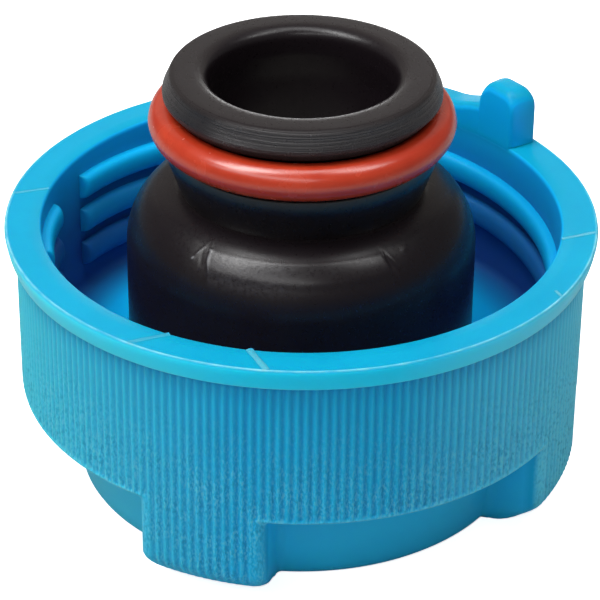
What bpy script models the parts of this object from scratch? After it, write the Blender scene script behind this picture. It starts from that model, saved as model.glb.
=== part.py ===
"""Coolant reservoir cap, lying upside down on its crown.

The cap is a two-part screw cap: a blue outer cap that screws onto the tank, and a black
valve insert that turns freely inside it. +Z points from the crown to the tank, and the
origin is the middle of the crown's flat face. All values are in metres.
"""

import math

import bmesh
import bpy
from mathutils import Vector

MM = 0.001

# Clearances
FIT_GAP = 0.3 * MM
TURNING_CLEARANCE = 0.6 * MM
GUIDE_CLEARANCE = 0.6 * MM

# Valve insert, from its axis outwards
BORE_RADIUS = 10.7 * MM
SEAT_WIDTH = 1.9 * MM
CEILING_WIDTH = 2.0 * MM
CEILING_CORNER = 2.2 * MM
HOUSING_WALL = 2.7 * MM
SNAP_FLANGE_WIDTH = 2.1 * MM
NECK_WALL = 1.85 * MM
WAIST_WIDTH = 1.05 * MM
COLLAR_WIDTH = 2.45 * MM
END_FLANGE_WIDTH = 2.75 * MM
END_FLANGE_TAPER = 1.0 * MM
END_FLANGE_UNDERCUT = 0.5 * MM
BORE_LIP_ROUND = 2.2 * MM

# Valve insert, along its axis
BELL_HEIGHT = 24.2 * MM
SHOULDER_HEIGHT = 7.3 * MM
SHOULDER_FULLNESS = 4.2 * MM
SHOULDER_REACH = 3.0 * MM
SHOULDER_RISE = 0.4 * MM
COLLAR_FLARE_HEIGHT = 4.0 * MM
COLLAR_HEIGHT = 1.4 * MM
FLANGE_UNDERCUT_HEIGHT = 0.8 * MM
FLANGE_EDGE_HEIGHT = 0.8 * MM
FLANGE_SIDE_HEIGHT = 1.9 * MM
CEILING_RISE = 4.8 * MM
CEILING_CORNER_HEIGHT = 4.0 * MM
SEAT_DROP = 1.6 * MM
SNAP_FLANGE_HEIGHT = 1.8 * MM
SNAP_CHAMFER_HEIGHT = 2.0 * MM
FOOT_BEAD_HEIGHT = 0.5 * MM
FOOT_BEAD_WIDTH = 0.6 * MM
COVER_POCKET_DEPTH = 0.7 * MM

# Neck O-ring
O_RING_SECTION_RADIUS = 2.0 * MM

# Outer cap
NECK_SPACE = 9.4 * MM
SKIRT_WALL = 2.5 * MM
RIB_COUNT = 205
RIB_DEPTH = 0.5 * MM
RIB_PHASE = 0.3
LIP_STEP = 1.1 * MM
LIP_HEIGHT = 2.5 * MM
LIP_EDGE = 0.35 * MM
CAP_HEIGHT = 31.2 * MM
LOBE_HEIGHT = 11.3 * MM
SHELF_THICKNESS = 2.5 * MM
CROWN_THICKNESS = 2.8 * MM
WELL_WALL = 3.0 * MM
RECESS_DRAFT = 1.6 * MM
LOBE_COUNT = 4
LOBE_WIDTH_DEG = 27.0
LOBE_CENTRE_DEG = 70.4
LOBE_CORNER = 2.0 * MM
LOBE_FILLET = 1.5 * MM
LOBE_END_INSET = 5.0 * MM
LOBE_END_HEIGHT = 4.0 * MM
LOBE_END_SHARPNESS = 1.4

# Thread inside the skirt
THREAD_STARTS = 2
THREAD_LEAD = 8.6 * MM
THREAD_DEPTH = 1.3 * MM
THREAD_CREST = 1.7 * MM
THREAD_FLANK = 0.55 * MM
THREAD_SINK = 0.5 * MM
THREAD_TOP_DROP = 1.85 * MM
THREAD_START_DEG = -84.0
THREAD_GAP_DEG = 14.0
THREAD_FLOOR_SPACE = 1.5 * MM

# Tab on the rim
TAB_START_DEG = 123.2
TAB_POST_END_DEG = 134.5
TAB_WALL_END_DEG = 150.0
TAB_RAMP_END_DEG = 154.0
TAB_POST_HEIGHT = 6.4 * MM
TAB_POST_CORNER = 1.8 * MM
TAB_WALL_HEIGHT = 2.7 * MM
TAB_EDGE = 0.4 * MM
TAB_SINK = 1.0 * MM

# Pieces inside the housing
WASHER_THICKNESS = 0.6 * MM
WASHER_WIDTH = 5.0 * MM
COVER_THICKNESS = 2.0 * MM
COVER_RING_HEIGHT = 1.2 * MM
COVER_RING_WIDTH = 0.8 * MM
COVER_VENT_COUNT = 6
COVER_VENT_RADIUS = 1.2 * MM
COVER_VENT_CIRCLE = 6.0 * MM
SPRING_SEAT_THICKNESS = 0.7 * MM
PLATE_THICKNESS = 2.2 * MM
PLATE_SKIRT_WALL = 1.4 * MM
PLATE_SKIRT_DEPTH = 6.5 * MM
PRESSURE_WIRE_RADIUS = 0.9 * MM
PRESSURE_COILS = 5.5
PRESSURE_SEAL_THICKNESS = 1.6 * MM
PRESSURE_SEAL_OVERLAP = 0.6 * MM
RETAINER_THICKNESS = 0.6 * MM
RETAINER_FLANGE_WIDTH = 1.5 * MM
RETAINER_HUB_WALL = 1.0 * MM

# Vacuum valve in the middle of the pressure valve
STEM_RADIUS = 1.5 * MM
STEM_LENGTH = 11.0 * MM
STEM_END_RADIUS = 2.1 * MM
STEM_END_HEIGHT = 0.7 * MM
HEAD_THICKNESS = 1.2 * MM
HEAD_SPACE = 1.0 * MM
VACUUM_SEAL_THICKNESS = 1.2 * MM
VACUUM_SEAL_INSET = 0.4 * MM
VACUUM_SEAT_RADIUS = 4.6 * MM
VACUUM_SEAT_WIDTH = 0.8 * MM
VACUUM_SEAT_HEIGHT = 0.5 * MM
AIR_HOLE_COUNT = 4
AIR_HOLE_RADIUS = 0.8 * MM
AIR_HOLE_CIRCLE = 3.4 * MM
VACUUM_WIRE_RADIUS = 0.3 * MM
VACUUM_COILS = 4.5
CLIP_THICKNESS = 0.5 * MM
CLIP_WIDTH = 1.7 * MM

# Fineness of the solids
ROUND_STEPS = 64
SMALL_STEPS = 32
SECTION_STEPS = 12
SHOULDER_STEPS = 7
ARC_STEPS = 4
THREAD_STEP_DEG = 8.0
SMOOTH_ANGLE = math.radians(35)

# Places that follow from the sizes above
SEAT_RADIUS = BORE_RADIUS + SEAT_WIDTH
CEILING_RADIUS = SEAT_RADIUS + CEILING_WIDTH
CHAMBER_RADIUS = CEILING_RADIUS + CEILING_CORNER
BELL_RADIUS = CHAMBER_RADIUS + HOUSING_WALL
SNAP_FLANGE_RADIUS = BELL_RADIUS + SNAP_FLANGE_WIDTH
GROOVE_RADIUS = BORE_RADIUS + NECK_WALL
WAIST_RADIUS = GROOVE_RADIUS + WAIST_WIDTH
COLLAR_RADIUS = GROOVE_RADIUS + COLLAR_WIDTH
END_FLANGE_RADIUS = GROOVE_RADIUS + END_FLANGE_WIDTH
O_RING_RADIUS = GROOVE_RADIUS + FIT_GAP + O_RING_SECTION_RADIUS

WELL_LIP_RADIUS = BELL_RADIUS + TURNING_CLEARANCE
WELL_RADIUS = SNAP_FLANGE_RADIUS + TURNING_CLEARANCE
RECESS_FOOT_RADIUS = WELL_RADIUS + WELL_WALL
RECESS_HEAD_RADIUS = RECESS_FOOT_RADIUS + RECESS_DRAFT
SKIRT_BORE_RADIUS = BELL_RADIUS + NECK_SPACE
RIB_ROOT_RADIUS = SKIRT_BORE_RADIUS + SKIRT_WALL
RIB_CREST_RADIUS = RIB_ROOT_RADIUS + RIB_DEPTH
RIM_RADIUS = RIB_CREST_RADIUS + LIP_STEP
SHELF_Z = LOBE_HEIGHT + SHELF_THICKNESS

WASHER_Z = CROWN_THICKNESS + FIT_GAP
FOOT_Z = WASHER_Z + WASHER_THICKNESS + FIT_GAP
SNAP_FLANGE_TOP_Z = LOBE_HEIGHT - FIT_GAP
BELL_TOP_Z = FOOT_Z + BELL_HEIGHT
WAIST_Z = BELL_TOP_Z + SHOULDER_HEIGHT
COLLAR_Z = WAIST_Z + COLLAR_FLARE_HEIGHT
GROOVE_Z = COLLAR_Z + COLLAR_HEIGHT
GROOVE_TOP_Z = GROOVE_Z + 2 * O_RING_SECTION_RADIUS + 2 * FIT_GAP
FLANGE_EDGE_Z = GROOVE_TOP_Z + FLANGE_UNDERCUT_HEIGHT
FLANGE_SIDE_Z = FLANGE_EDGE_Z + FLANGE_EDGE_HEIGHT
NECK_END_Z = FLANGE_SIDE_Z + FLANGE_SIDE_HEIGHT
CEILING_Z = BELL_TOP_Z + CEILING_RISE
SEAT_Z = CEILING_Z - SEAT_DROP

COVER_Z = FOOT_Z + FOOT_BEAD_HEIGHT + FIT_GAP
COVER_TOP_Z = COVER_Z + COVER_THICKNESS
POCKET_RADIUS = CHAMBER_RADIUS + COVER_POCKET_DEPTH
POCKET_TOP_Z = COVER_TOP_Z + FIT_GAP
COVER_RADIUS = POCKET_RADIUS - FIT_GAP
SPRING_SEAT_Z = COVER_TOP_Z + FIT_GAP
SPRING_FOOT_Z = SPRING_SEAT_Z + SPRING_SEAT_THICKNESS + FIT_GAP

PRESSURE_SEAL_Z = SEAT_Z - FIT_GAP - PRESSURE_SEAL_THICKNESS
PLATE_TOP_Z = PRESSURE_SEAL_Z - FIT_GAP
PLATE_Z = PLATE_TOP_Z - PLATE_THICKNESS
PLATE_RADIUS = CHAMBER_RADIUS - GUIDE_CLEARANCE
PLATE_SKIRT_RADIUS = PLATE_RADIUS - PLATE_SKIRT_WALL
SPRING_HEAD_Z = PLATE_Z - FIT_GAP
SPRING_RADIUS = PLATE_SKIRT_RADIUS - FIT_GAP - GUIDE_CLEARANCE - PRESSURE_WIRE_RADIUS
COVER_RING_RADIUS = SPRING_RADIUS - PRESSURE_WIRE_RADIUS - GUIDE_CLEARANCE

RETAINER_RADIUS = BORE_RADIUS - GUIDE_CLEARANCE
RETAINER_HUB_RADIUS = RETAINER_RADIUS - RETAINER_FLANGE_WIDTH
RETAINER_HOLE_RADIUS = RETAINER_HUB_RADIUS - RETAINER_HUB_WALL
RETAINER_Z = PRESSURE_SEAL_Z + PRESSURE_SEAL_THICKNESS + FIT_GAP

HEAD_RADIUS = RETAINER_HOLE_RADIUS - HEAD_SPACE
STEM_HOLE_RADIUS = STEM_RADIUS + FIT_GAP
VACUUM_SEAL_Z = PLATE_TOP_Z + VACUUM_SEAT_HEIGHT + FIT_GAP
HEAD_Z = VACUUM_SEAL_Z + VACUUM_SEAL_THICKNESS + FIT_GAP
STEM_END_Z = HEAD_Z - STEM_LENGTH
CLIP_Z = STEM_END_Z + STEM_END_HEIGHT + FIT_GAP
VACUUM_SPRING_Z = CLIP_Z + CLIP_THICKNESS + FIT_GAP
VACUUM_SPRING_RADIUS = STEM_HOLE_RADIUS + FIT_GAP + VACUUM_WIRE_RADIUS

BLUE = (0.012, 0.300, 0.630, 1.0)
BLACK = (0.012, 0.012, 0.014, 1.0)
RED = (0.560, 0.035, 0.016, 1.0)
DARK_RUBBER = (0.020, 0.020, 0.020, 1.0)
PALE_PLASTIC = (0.650, 0.630, 0.580, 1.0)
STEEL = (0.560, 0.560, 0.550, 1.0)


def clear_scene():
    for item in list(bpy.data.objects):
        bpy.data.objects.remove(item)


def material(name, colour, roughness, metallic=0.0):
    made = bpy.data.materials.new(name)
    made.use_nodes = True
    shader = made.node_tree.nodes["Principled BSDF"]
    shader.inputs["Base Color"].default_value = colour
    shader.inputs["Roughness"].default_value = roughness
    shader.inputs["Metallic"].default_value = metallic
    made.diffuse_color = colour
    return made


def add_object(name, bm, look=None):
    bmesh.ops.recalc_face_normals(bm, faces=bm.faces)
    mesh = bpy.data.meshes.new(name)
    bm.to_mesh(mesh)
    bm.free()
    mesh.shade_smooth()
    mesh.set_sharp_from_angle(angle=SMOOTH_ANGLE)
    item = bpy.data.objects.new(name, mesh)
    bpy.context.scene.collection.objects.link(item)
    if look:
        mesh.materials.append(look)
    return item


def polar(radius, degrees, z):
    """Point at an angle counted from -Y towards +X, as seen from the front of the cap."""
    angle = math.radians(degrees)
    return Vector((radius * math.sin(angle), -radius * math.cos(angle), z))


def turned(profile, steps=ROUND_STEPS, bm=None):
    """Turn a closed outline of (radius, z) points round the Z axis."""
    bm = bm or bmesh.new()
    rings = []
    for radius, z in profile:
        if radius == 0:
            rings.append([bm.verts.new((0, 0, z))])
            continue
        rings.append([bm.verts.new(polar(radius, 360 * i / steps, z)) for i in range(steps)])
    for lower, upper in zip(rings, rings[1:] + rings[:1]):
        if len(lower) == 1 and len(upper) == 1:
            continue
        for i in range(steps):
            j = (i + 1) % steps
            corners = [lower[i % len(lower)], lower[j % len(lower)]]
            corners += [upper[j % len(upper)], upper[i % len(upper)]]
            bm.faces.new(list(dict.fromkeys(corners)))
    return bm


def prism(levels):
    """Close a solid between outlines that have the same number of points."""
    bm = bmesh.new()
    rings = [[bm.verts.new(point) for point in level] for level in levels]
    count = len(rings[0])
    for lower, upper in zip(rings, rings[1:]):
        for i in range(count):
            j = (i + 1) % count
            bm.faces.new((lower[i], lower[j], upper[j], upper[i]))
    bm.faces.new(rings[0])
    bm.faces.new(rings[-1])
    return bm


def joined(bmeshes):
    """Put several separate solids into one mesh."""
    whole = bmesh.new()
    for bm in bmeshes:
        mesh = bpy.data.meshes.new("joined")
        bmesh.ops.recalc_face_normals(bm, faces=bm.faces)
        bm.to_mesh(mesh)
        bm.free()
        whole.from_mesh(mesh)
        bpy.data.meshes.remove(mesh)
    return whole


def arc(centre, radius, start_deg, end_deg, steps=ARC_STEPS):
    """Points of a round stretch in an outline, ends included."""
    points = []
    for i in range(steps + 1):
        angle = math.radians(start_deg + (end_deg - start_deg) * i / steps)
        points.append((centre[0] + radius * math.cos(angle), centre[1] + radius * math.sin(angle)))
    return points


def change(target, operation, name, bm):
    """Add a hidden tool solid and let it cut or join the target."""
    tool = add_object(name, bm)
    tool.hide_render = True
    tool.hide_viewport = False
    tool.display_type = "WIRE"
    step = target.modifiers.new(name, "BOOLEAN")
    step.operation = operation
    step.solver = "EXACT"
    step.object = tool
    return tool


def lobe_centres():
    return [LOBE_CENTRE_DEG + 360 * i / LOBE_COUNT for i in range(LOBE_COUNT)]


def ribbed_body():
    """Ribbed drum with a plain lip at the rim and rounded crown ends."""
    levels = []
    for i in range(ARC_STEPS + 1):
        turn = math.pi / 2 * i / ARC_STEPS
        inward = LOBE_END_INSET * (1 - math.sin(turn) ** (2 / LOBE_END_SHARPNESS))
        up = LOBE_END_HEIGHT * (1 - math.cos(turn) ** (2 / LOBE_END_SHARPNESS))
        levels.append((inward, up))
    lip_z = CAP_HEIGHT - LIP_HEIGHT
    levels.append((0, lip_z))
    pitch = 360 / RIB_COUNT
    bm = bmesh.new()
    ribbed = []
    for inset, z in levels:
        ring = []
        for i in range(RIB_COUNT):
            degrees = pitch * (i + RIB_PHASE)
            ring.append(bm.verts.new(polar(RIB_ROOT_RADIUS - inset, degrees, z)))
            ring.append(bm.verts.new(polar(RIB_CREST_RADIUS - inset, degrees + pitch / 2, z)))
        ribbed.append(ring)
    lip_profile = [
        (RIM_RADIUS - LIP_EDGE, lip_z),
        (RIM_RADIUS, lip_z + LIP_EDGE),
        (RIM_RADIUS, CAP_HEIGHT - LIP_EDGE),
        (RIM_RADIUS - LIP_EDGE, CAP_HEIGHT),
    ]
    plain = []
    for radius, z in lip_profile:
        places = [polar(radius, pitch * (i + RIB_PHASE), z) for i in range(RIB_COUNT)]
        plain.append([bm.verts.new(place) for place in places])
    for rings in (ribbed, plain):
        for lower, upper in zip(rings, rings[1:]):
            for i in range(len(lower)):
                j = (i + 1) % len(lower)
                bm.faces.new((lower[i], lower[j], upper[j], upper[i]))
    under = ribbed[-1]
    foot = plain[0]
    for i in range(RIB_COUNT):
        j = (i + 1) % RIB_COUNT
        bm.faces.new((under[2 * i], under[2 * i + 1], under[2 * j], foot[j], foot[i]))
    bm.faces.new(ribbed[0])
    bm.faces.new(plain[-1])
    return bm


def recess_outline(radius, z, start_deg, end_deg):
    """Plan of the space between two lobes, seen from above, at one height."""
    half = (end_deg - start_deg) / 2
    middle = (start_deg + end_deg) / 2
    outside = RIM_RADIUS + LIP_STEP
    side = math.radians(half)
    corner = RIB_CREST_RADIUS - LOBE_CORNER
    points = []
    # The outline is laid out round +X and then turned to its place.
    fillet_turn = LOBE_FILLET / (radius + LOBE_FILLET)
    for i in range(ARC_STEPS + 1):
        share = i / ARC_STEPS
        reach = radius + LOBE_FILLET * (1 - math.sin(share * math.pi / 2))
        angle = side - fillet_turn * (1 - math.cos(share * math.pi / 2))
        points.append((reach, angle))
    wall_steps = 2 * ARC_STEPS
    foot_angle = side - fillet_turn
    for i in range(1, wall_steps):
        points.append((radius, foot_angle * (1 - 2 * i / wall_steps)))
    points += [(reach, -angle) for reach, angle in reversed(points[: ARC_STEPS + 1])]
    corner_turn = LOBE_CORNER / corner
    flare = []
    for i in range(ARC_STEPS + 1):
        share = i / ARC_STEPS
        reach = corner + LOBE_CORNER * math.sin(share * math.pi / 2)
        angle = side + corner_turn * (1 - math.cos(share * math.pi / 2))
        flare.append((reach, angle))
    flare.append((outside, side + corner_turn))
    points += [(reach, -angle) for reach, angle in flare]
    for i in range(1, wall_steps):
        points.append((outside, (side + corner_turn) * (2 * i / wall_steps - 1)))
    points += list(reversed(flare))
    return [polar(reach, middle + math.degrees(angle), z) for reach, angle in points]


def recesses():
    """Cuts between the grip lobes, below the ribbed band."""
    below = -LOBE_HEIGHT / 2
    foot_draft = RECESS_DRAFT * below / LOBE_HEIGHT
    cuts = []
    for centre in lobe_centres():
        start = centre + LOBE_WIDTH_DEG / 2
        end = centre + 360 / LOBE_COUNT - LOBE_WIDTH_DEG / 2
        low = recess_outline(RECESS_FOOT_RADIUS + foot_draft, below, start, end)
        high = recess_outline(RECESS_HEAD_RADIUS, LOBE_HEIGHT, start, end)
        cuts.append(prism([low, high]))
    return joined(cuts)


def rim_tab():
    """Round-cornered post and lower wall that stand on the rim."""
    corner_deg = math.degrees(TAB_POST_CORNER / RIM_RADIUS)
    corner = []
    for i in range(ARC_STEPS + 1):
        turn = math.pi / 2 * i / ARC_STEPS
        height = TAB_POST_HEIGHT - TAB_POST_CORNER * (1 - math.sin(turn))
        corner.append((corner_deg * (1 - math.cos(turn)), height))
    outline = [(TAB_START_DEG, -TAB_SINK)]
    outline += [(TAB_START_DEG + inward, height) for inward, height in corner]
    outline += [(TAB_POST_END_DEG - inward, height) for inward, height in reversed(corner)]
    outline.append((TAB_POST_END_DEG, TAB_WALL_HEIGHT))
    outline.append((TAB_WALL_END_DEG, TAB_WALL_HEIGHT))
    outline.append((TAB_RAMP_END_DEG, 0))
    outline.append((TAB_RAMP_END_DEG, -TAB_SINK))
    inside = SKIRT_BORE_RADIUS - TAB_SINK
    outside = RIM_RADIUS - TAB_EDGE
    inner = [polar(inside, degrees, CAP_HEIGHT + height) for degrees, height in outline]
    outer = [polar(outside, degrees, CAP_HEIGHT + height) for degrees, height in outline]
    return prism([inner, outer])


def skirt_cavity():
    """Hollow for the tank's neck and well for the insert's foot."""
    above = CAP_HEIGHT + 2 * TAB_POST_HEIGHT
    profile = [
        (0, CROWN_THICKNESS),
        (WELL_RADIUS, CROWN_THICKNESS),
        (WELL_RADIUS, LOBE_HEIGHT),
        (WELL_LIP_RADIUS, LOBE_HEIGHT),
        (WELL_LIP_RADIUS, SHELF_Z),
        (SKIRT_BORE_RADIUS, SHELF_Z),
        (SKIRT_BORE_RADIUS, above),
        (0, above),
    ]
    return turned(profile)


def thread_section(radius_in, radius_out, degrees, top):
    """Four corners of the ridge, crest first."""
    return [
        polar(radius_in, degrees, top),
        polar(radius_in, degrees, top - THREAD_CREST),
        polar(radius_out, degrees, top - THREAD_CREST - THREAD_FLANK),
        polar(radius_out, degrees, top + THREAD_FLANK),
    ]


def thread_ridges():
    """Right-hand two-start thread, interrupted over each lobe."""
    step = THREAD_STEP_DEG
    crest = SKIRT_BORE_RADIUS - THREAD_DEPTH
    root = SKIRT_BORE_RADIUS + THREAD_SINK
    height = CAP_HEIGHT - THREAD_TOP_DROP - SHELF_Z - THREAD_FLOOR_SPACE - THREAD_CREST
    turn = 360 * height / THREAD_LEAD
    sector = 360 / LOBE_COUNT
    ridges = []
    for start in range(THREAD_STARTS):
        first = THREAD_START_DEG + 360 * start / THREAD_STARTS
        last = first - turn
        count = math.ceil((first - LOBE_CENTRE_DEG) / sector)
        edge = LOBE_CENTRE_DEG + sector * count
        while edge > last:
            begin = min(first, edge - THREAD_GAP_DEG / 2)
            end = max(last, edge - sector + THREAD_GAP_DEG / 2)
            edge -= sector
            if begin - end < step:
                continue
            pieces = math.ceil((begin - end) / step)
            levels = []
            for i in range(pieces + 1):
                degrees = begin + (end - begin) * i / pieces
                drop = THREAD_LEAD * (first - degrees) / 360
                top = CAP_HEIGHT - THREAD_TOP_DROP - drop
                levels.append(thread_section(crest, root, degrees, top))
            ridges.append(prism(levels))
    return joined(ridges)


def make_cap_shell(look):
    shell = add_object("cap_shell", ribbed_body(), look)
    change(shell, "UNION", "tab_tool", rim_tab())
    change(shell, "DIFFERENCE", "recess_tool", recesses())
    change(shell, "DIFFERENCE", "cavity_tool", skirt_cavity())
    change(shell, "UNION", "thread_tool", thread_ridges())
    return shell


def bezier(first, second, third, fourth, steps):
    points = []
    for i in range(steps + 1):
        t = i / steps
        weights = ((1 - t) ** 3, 3 * t * (1 - t) ** 2, 3 * t * t * (1 - t), t**3)
        corners = (first, second, third, fourth)
        points.append(tuple(sum(w * c[k] for w, c in zip(weights, corners)) for k in (0, 1)))
    return points


def make_valve_housing(look):
    shoulder = bezier(
        (BELL_RADIUS, BELL_TOP_Z),
        (BELL_RADIUS, BELL_TOP_Z + SHOULDER_FULLNESS),
        (WAIST_RADIUS + SHOULDER_REACH, WAIST_Z - SHOULDER_RISE),
        (WAIST_RADIUS, WAIST_Z),
        SHOULDER_STEPS,
    )
    lip_centre = (BORE_RADIUS + BORE_LIP_ROUND, NECK_END_Z - BORE_LIP_ROUND)
    profile = [
        (POCKET_RADIUS - FOOT_BEAD_WIDTH, FOOT_Z),
        (BELL_RADIUS, FOOT_Z),
        (BELL_RADIUS, SNAP_FLANGE_TOP_Z - SNAP_FLANGE_HEIGHT - SNAP_CHAMFER_HEIGHT),
        (SNAP_FLANGE_RADIUS, SNAP_FLANGE_TOP_Z - SNAP_FLANGE_HEIGHT),
        (SNAP_FLANGE_RADIUS, SNAP_FLANGE_TOP_Z),
        (BELL_RADIUS, SNAP_FLANGE_TOP_Z),
    ]
    profile += shoulder
    profile += [
        (COLLAR_RADIUS, COLLAR_Z),
        (COLLAR_RADIUS, GROOVE_Z),
        (GROOVE_RADIUS, GROOVE_Z),
        (GROOVE_RADIUS, GROOVE_TOP_Z),
        (END_FLANGE_RADIUS - END_FLANGE_UNDERCUT, GROOVE_TOP_Z),
        (END_FLANGE_RADIUS, FLANGE_EDGE_Z),
        (END_FLANGE_RADIUS, FLANGE_SIDE_Z),
        (END_FLANGE_RADIUS - END_FLANGE_TAPER, NECK_END_Z),
    ]
    profile += arc(lip_centre, BORE_LIP_ROUND, 90, 180)
    profile += [
        (BORE_RADIUS, SEAT_Z),
        (SEAT_RADIUS, SEAT_Z),
        (SEAT_RADIUS, CEILING_Z),
        (CEILING_RADIUS, CEILING_Z),
        (CHAMBER_RADIUS, CEILING_Z - CEILING_CORNER_HEIGHT),
        (CHAMBER_RADIUS, POCKET_TOP_Z),
        (POCKET_RADIUS, POCKET_TOP_Z),
        (POCKET_RADIUS, FOOT_Z + FOOT_BEAD_HEIGHT),
        (POCKET_RADIUS - FOOT_BEAD_WIDTH, FOOT_Z + FOOT_BEAD_HEIGHT),
    ]
    return add_object("valve_housing", turned(profile), look)


def make_neck_o_ring(look):
    middle = GROOVE_Z + FIT_GAP + O_RING_SECTION_RADIUS
    section = arc((O_RING_RADIUS, middle), O_RING_SECTION_RADIUS, 0, 360, SECTION_STEPS)
    return add_object("neck_o_ring", turned(section[:-1]), look)


def flat_ring(name, inner, outer, z, thickness, look, steps=ROUND_STEPS):
    profile = [(inner, z), (outer, z), (outer, z + thickness), (inner, z + thickness)]
    return add_object(name, turned(profile, steps), look)


def round_holes(count, circle, radius, low, high, steps):
    """Upright round cutters spaced evenly on a circle."""
    holes = []
    for i in range(count):
        middle = polar(circle, 360 * (i + 0.5) / count, 0)
        levels = []
        for z in (low, high):
            levels.append([middle + polar(radius, 360 * k / steps, z) for k in range(steps)])
        holes.append(prism(levels))
    return joined(holes)


def make_housing_cover(look):
    ring_inside = COVER_RING_RADIUS - COVER_RING_WIDTH
    profile = [
        (0, COVER_Z),
        (COVER_RADIUS, COVER_Z),
        (COVER_RADIUS, COVER_TOP_Z),
        (COVER_RING_RADIUS, COVER_TOP_Z),
        (COVER_RING_RADIUS, COVER_TOP_Z + COVER_RING_HEIGHT),
        (ring_inside, COVER_TOP_Z + COVER_RING_HEIGHT),
        (ring_inside, COVER_TOP_Z),
        (0, COVER_TOP_Z),
    ]
    cover = add_object("housing_cover", turned(profile, SMALL_STEPS), look)
    low = COVER_Z - COVER_THICKNESS
    high = COVER_TOP_Z + COVER_THICKNESS
    vents = round_holes(COVER_VENT_COUNT, COVER_VENT_CIRCLE, COVER_VENT_RADIUS, low, high, SECTION_STEPS)
    change(cover, "DIFFERENCE", "vent_tool", vents)
    return cover


def coil_spring(name, radius, wire, low, high, coils, steps, sides, look):
    """Compression spring with closed ends, between two heights."""
    end_turns = 0.75
    closed_pitch = 2.1 * wire
    rise = high - low - 2 * wire - 2 * end_turns * closed_pitch
    free_turns = coils - 2 * end_turns
    total = math.ceil(coils * steps)
    bm = bmesh.new()
    rings = []
    for i in range(total + 1):
        turn = coils * i / total
        at_start = min(turn, end_turns)
        in_middle = min(max(turn - end_turns, 0), free_turns)
        at_end = max(turn - end_turns - free_turns, 0)
        z = low + wire + closed_pitch * (at_start + at_end) + rise * in_middle / free_turns
        degrees = 360 * turn
        ring = []
        for k in range(sides):
            angle = 2 * math.pi * (k + 0.5) / sides
            ring.append(bm.verts.new(polar(radius + wire * math.cos(angle), degrees, z + wire * math.sin(angle))))
        rings.append(ring)
    for lower, upper in zip(rings, rings[1:]):
        for k in range(sides):
            j = (k + 1) % sides
            bm.faces.new((lower[k], lower[j], upper[j], upper[k]))
    bm.faces.new(rings[0])
    bm.faces.new(rings[-1])
    return add_object(name, bm, look)


def make_pressure_plate(look):
    seat_outside = VACUUM_SEAT_RADIUS + VACUUM_SEAT_WIDTH
    profile = [
        (STEM_HOLE_RADIUS, PLATE_Z),
        (PLATE_SKIRT_RADIUS, PLATE_Z),
        (PLATE_SKIRT_RADIUS, PLATE_Z - PLATE_SKIRT_DEPTH),
        (PLATE_RADIUS, PLATE_Z - PLATE_SKIRT_DEPTH),
        (PLATE_RADIUS, PLATE_Z),
        (CEILING_RADIUS - GUIDE_CLEARANCE, PLATE_TOP_Z),
        (seat_outside, PLATE_TOP_Z),
        (seat_outside, PLATE_TOP_Z + VACUUM_SEAT_HEIGHT),
        (VACUUM_SEAT_RADIUS, PLATE_TOP_Z + VACUUM_SEAT_HEIGHT),
        (VACUUM_SEAT_RADIUS, PLATE_TOP_Z),
        (STEM_HOLE_RADIUS, PLATE_TOP_Z),
    ]
    plate = add_object("pressure_valve_plate", turned(profile, SMALL_STEPS), look)
    low = PLATE_Z - PLATE_THICKNESS
    high = PLATE_TOP_Z + PLATE_THICKNESS
    holes = round_holes(AIR_HOLE_COUNT, AIR_HOLE_CIRCLE, AIR_HOLE_RADIUS, low, high, SECTION_STEPS)
    change(plate, "DIFFERENCE", "air_hole_tool", holes)
    return plate


def make_seal_retainer(look):
    profile = [
        (RETAINER_HOLE_RADIUS, PRESSURE_SEAL_Z),
        (RETAINER_HUB_RADIUS, PRESSURE_SEAL_Z),
        (RETAINER_HUB_RADIUS, RETAINER_Z),
        (RETAINER_RADIUS, RETAINER_Z),
        (RETAINER_RADIUS, RETAINER_Z + RETAINER_THICKNESS),
        (RETAINER_HOLE_RADIUS, RETAINER_Z + RETAINER_THICKNESS),
    ]
    return add_object("seal_retainer", turned(profile, SMALL_STEPS), look)


def make_vacuum_stem(look):
    profile = [
        (0, STEM_END_Z),
        (STEM_END_RADIUS, STEM_END_Z),
        (STEM_END_RADIUS, STEM_END_Z + STEM_END_HEIGHT),
        (STEM_RADIUS, STEM_END_Z + STEM_END_HEIGHT),
        (STEM_RADIUS, HEAD_Z),
        (HEAD_RADIUS, HEAD_Z),
        (HEAD_RADIUS, HEAD_Z + HEAD_THICKNESS),
        (0, HEAD_Z + HEAD_THICKNESS),
    ]
    return add_object("vacuum_valve_stem", turned(profile, SMALL_STEPS), look)


def make_clip(look):
    """C-shaped clip, open towards the front, so that it slides onto the stem."""
    inner = STEM_HOLE_RADIUS
    outer = inner + CLIP_WIDTH
    slot = math.asin(min(STEM_RADIUS / inner, 1))
    half_open = math.degrees(slot)
    outline = []
    turn = 360 - 2 * half_open
    for i in range(SMALL_STEPS + 1):
        outline.append((outer, half_open + turn * i / SMALL_STEPS))
    for i in range(SMALL_STEPS + 1):
        outline.append((inner, half_open + turn * (1 - i / SMALL_STEPS)))
    low = [polar(radius, degrees, CLIP_Z) for radius, degrees in outline]
    high = [polar(radius, degrees, CLIP_Z + CLIP_THICKNESS) for radius, degrees in outline]
    return add_object("vacuum_spring_clip", prism([low, high]), look)


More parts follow.
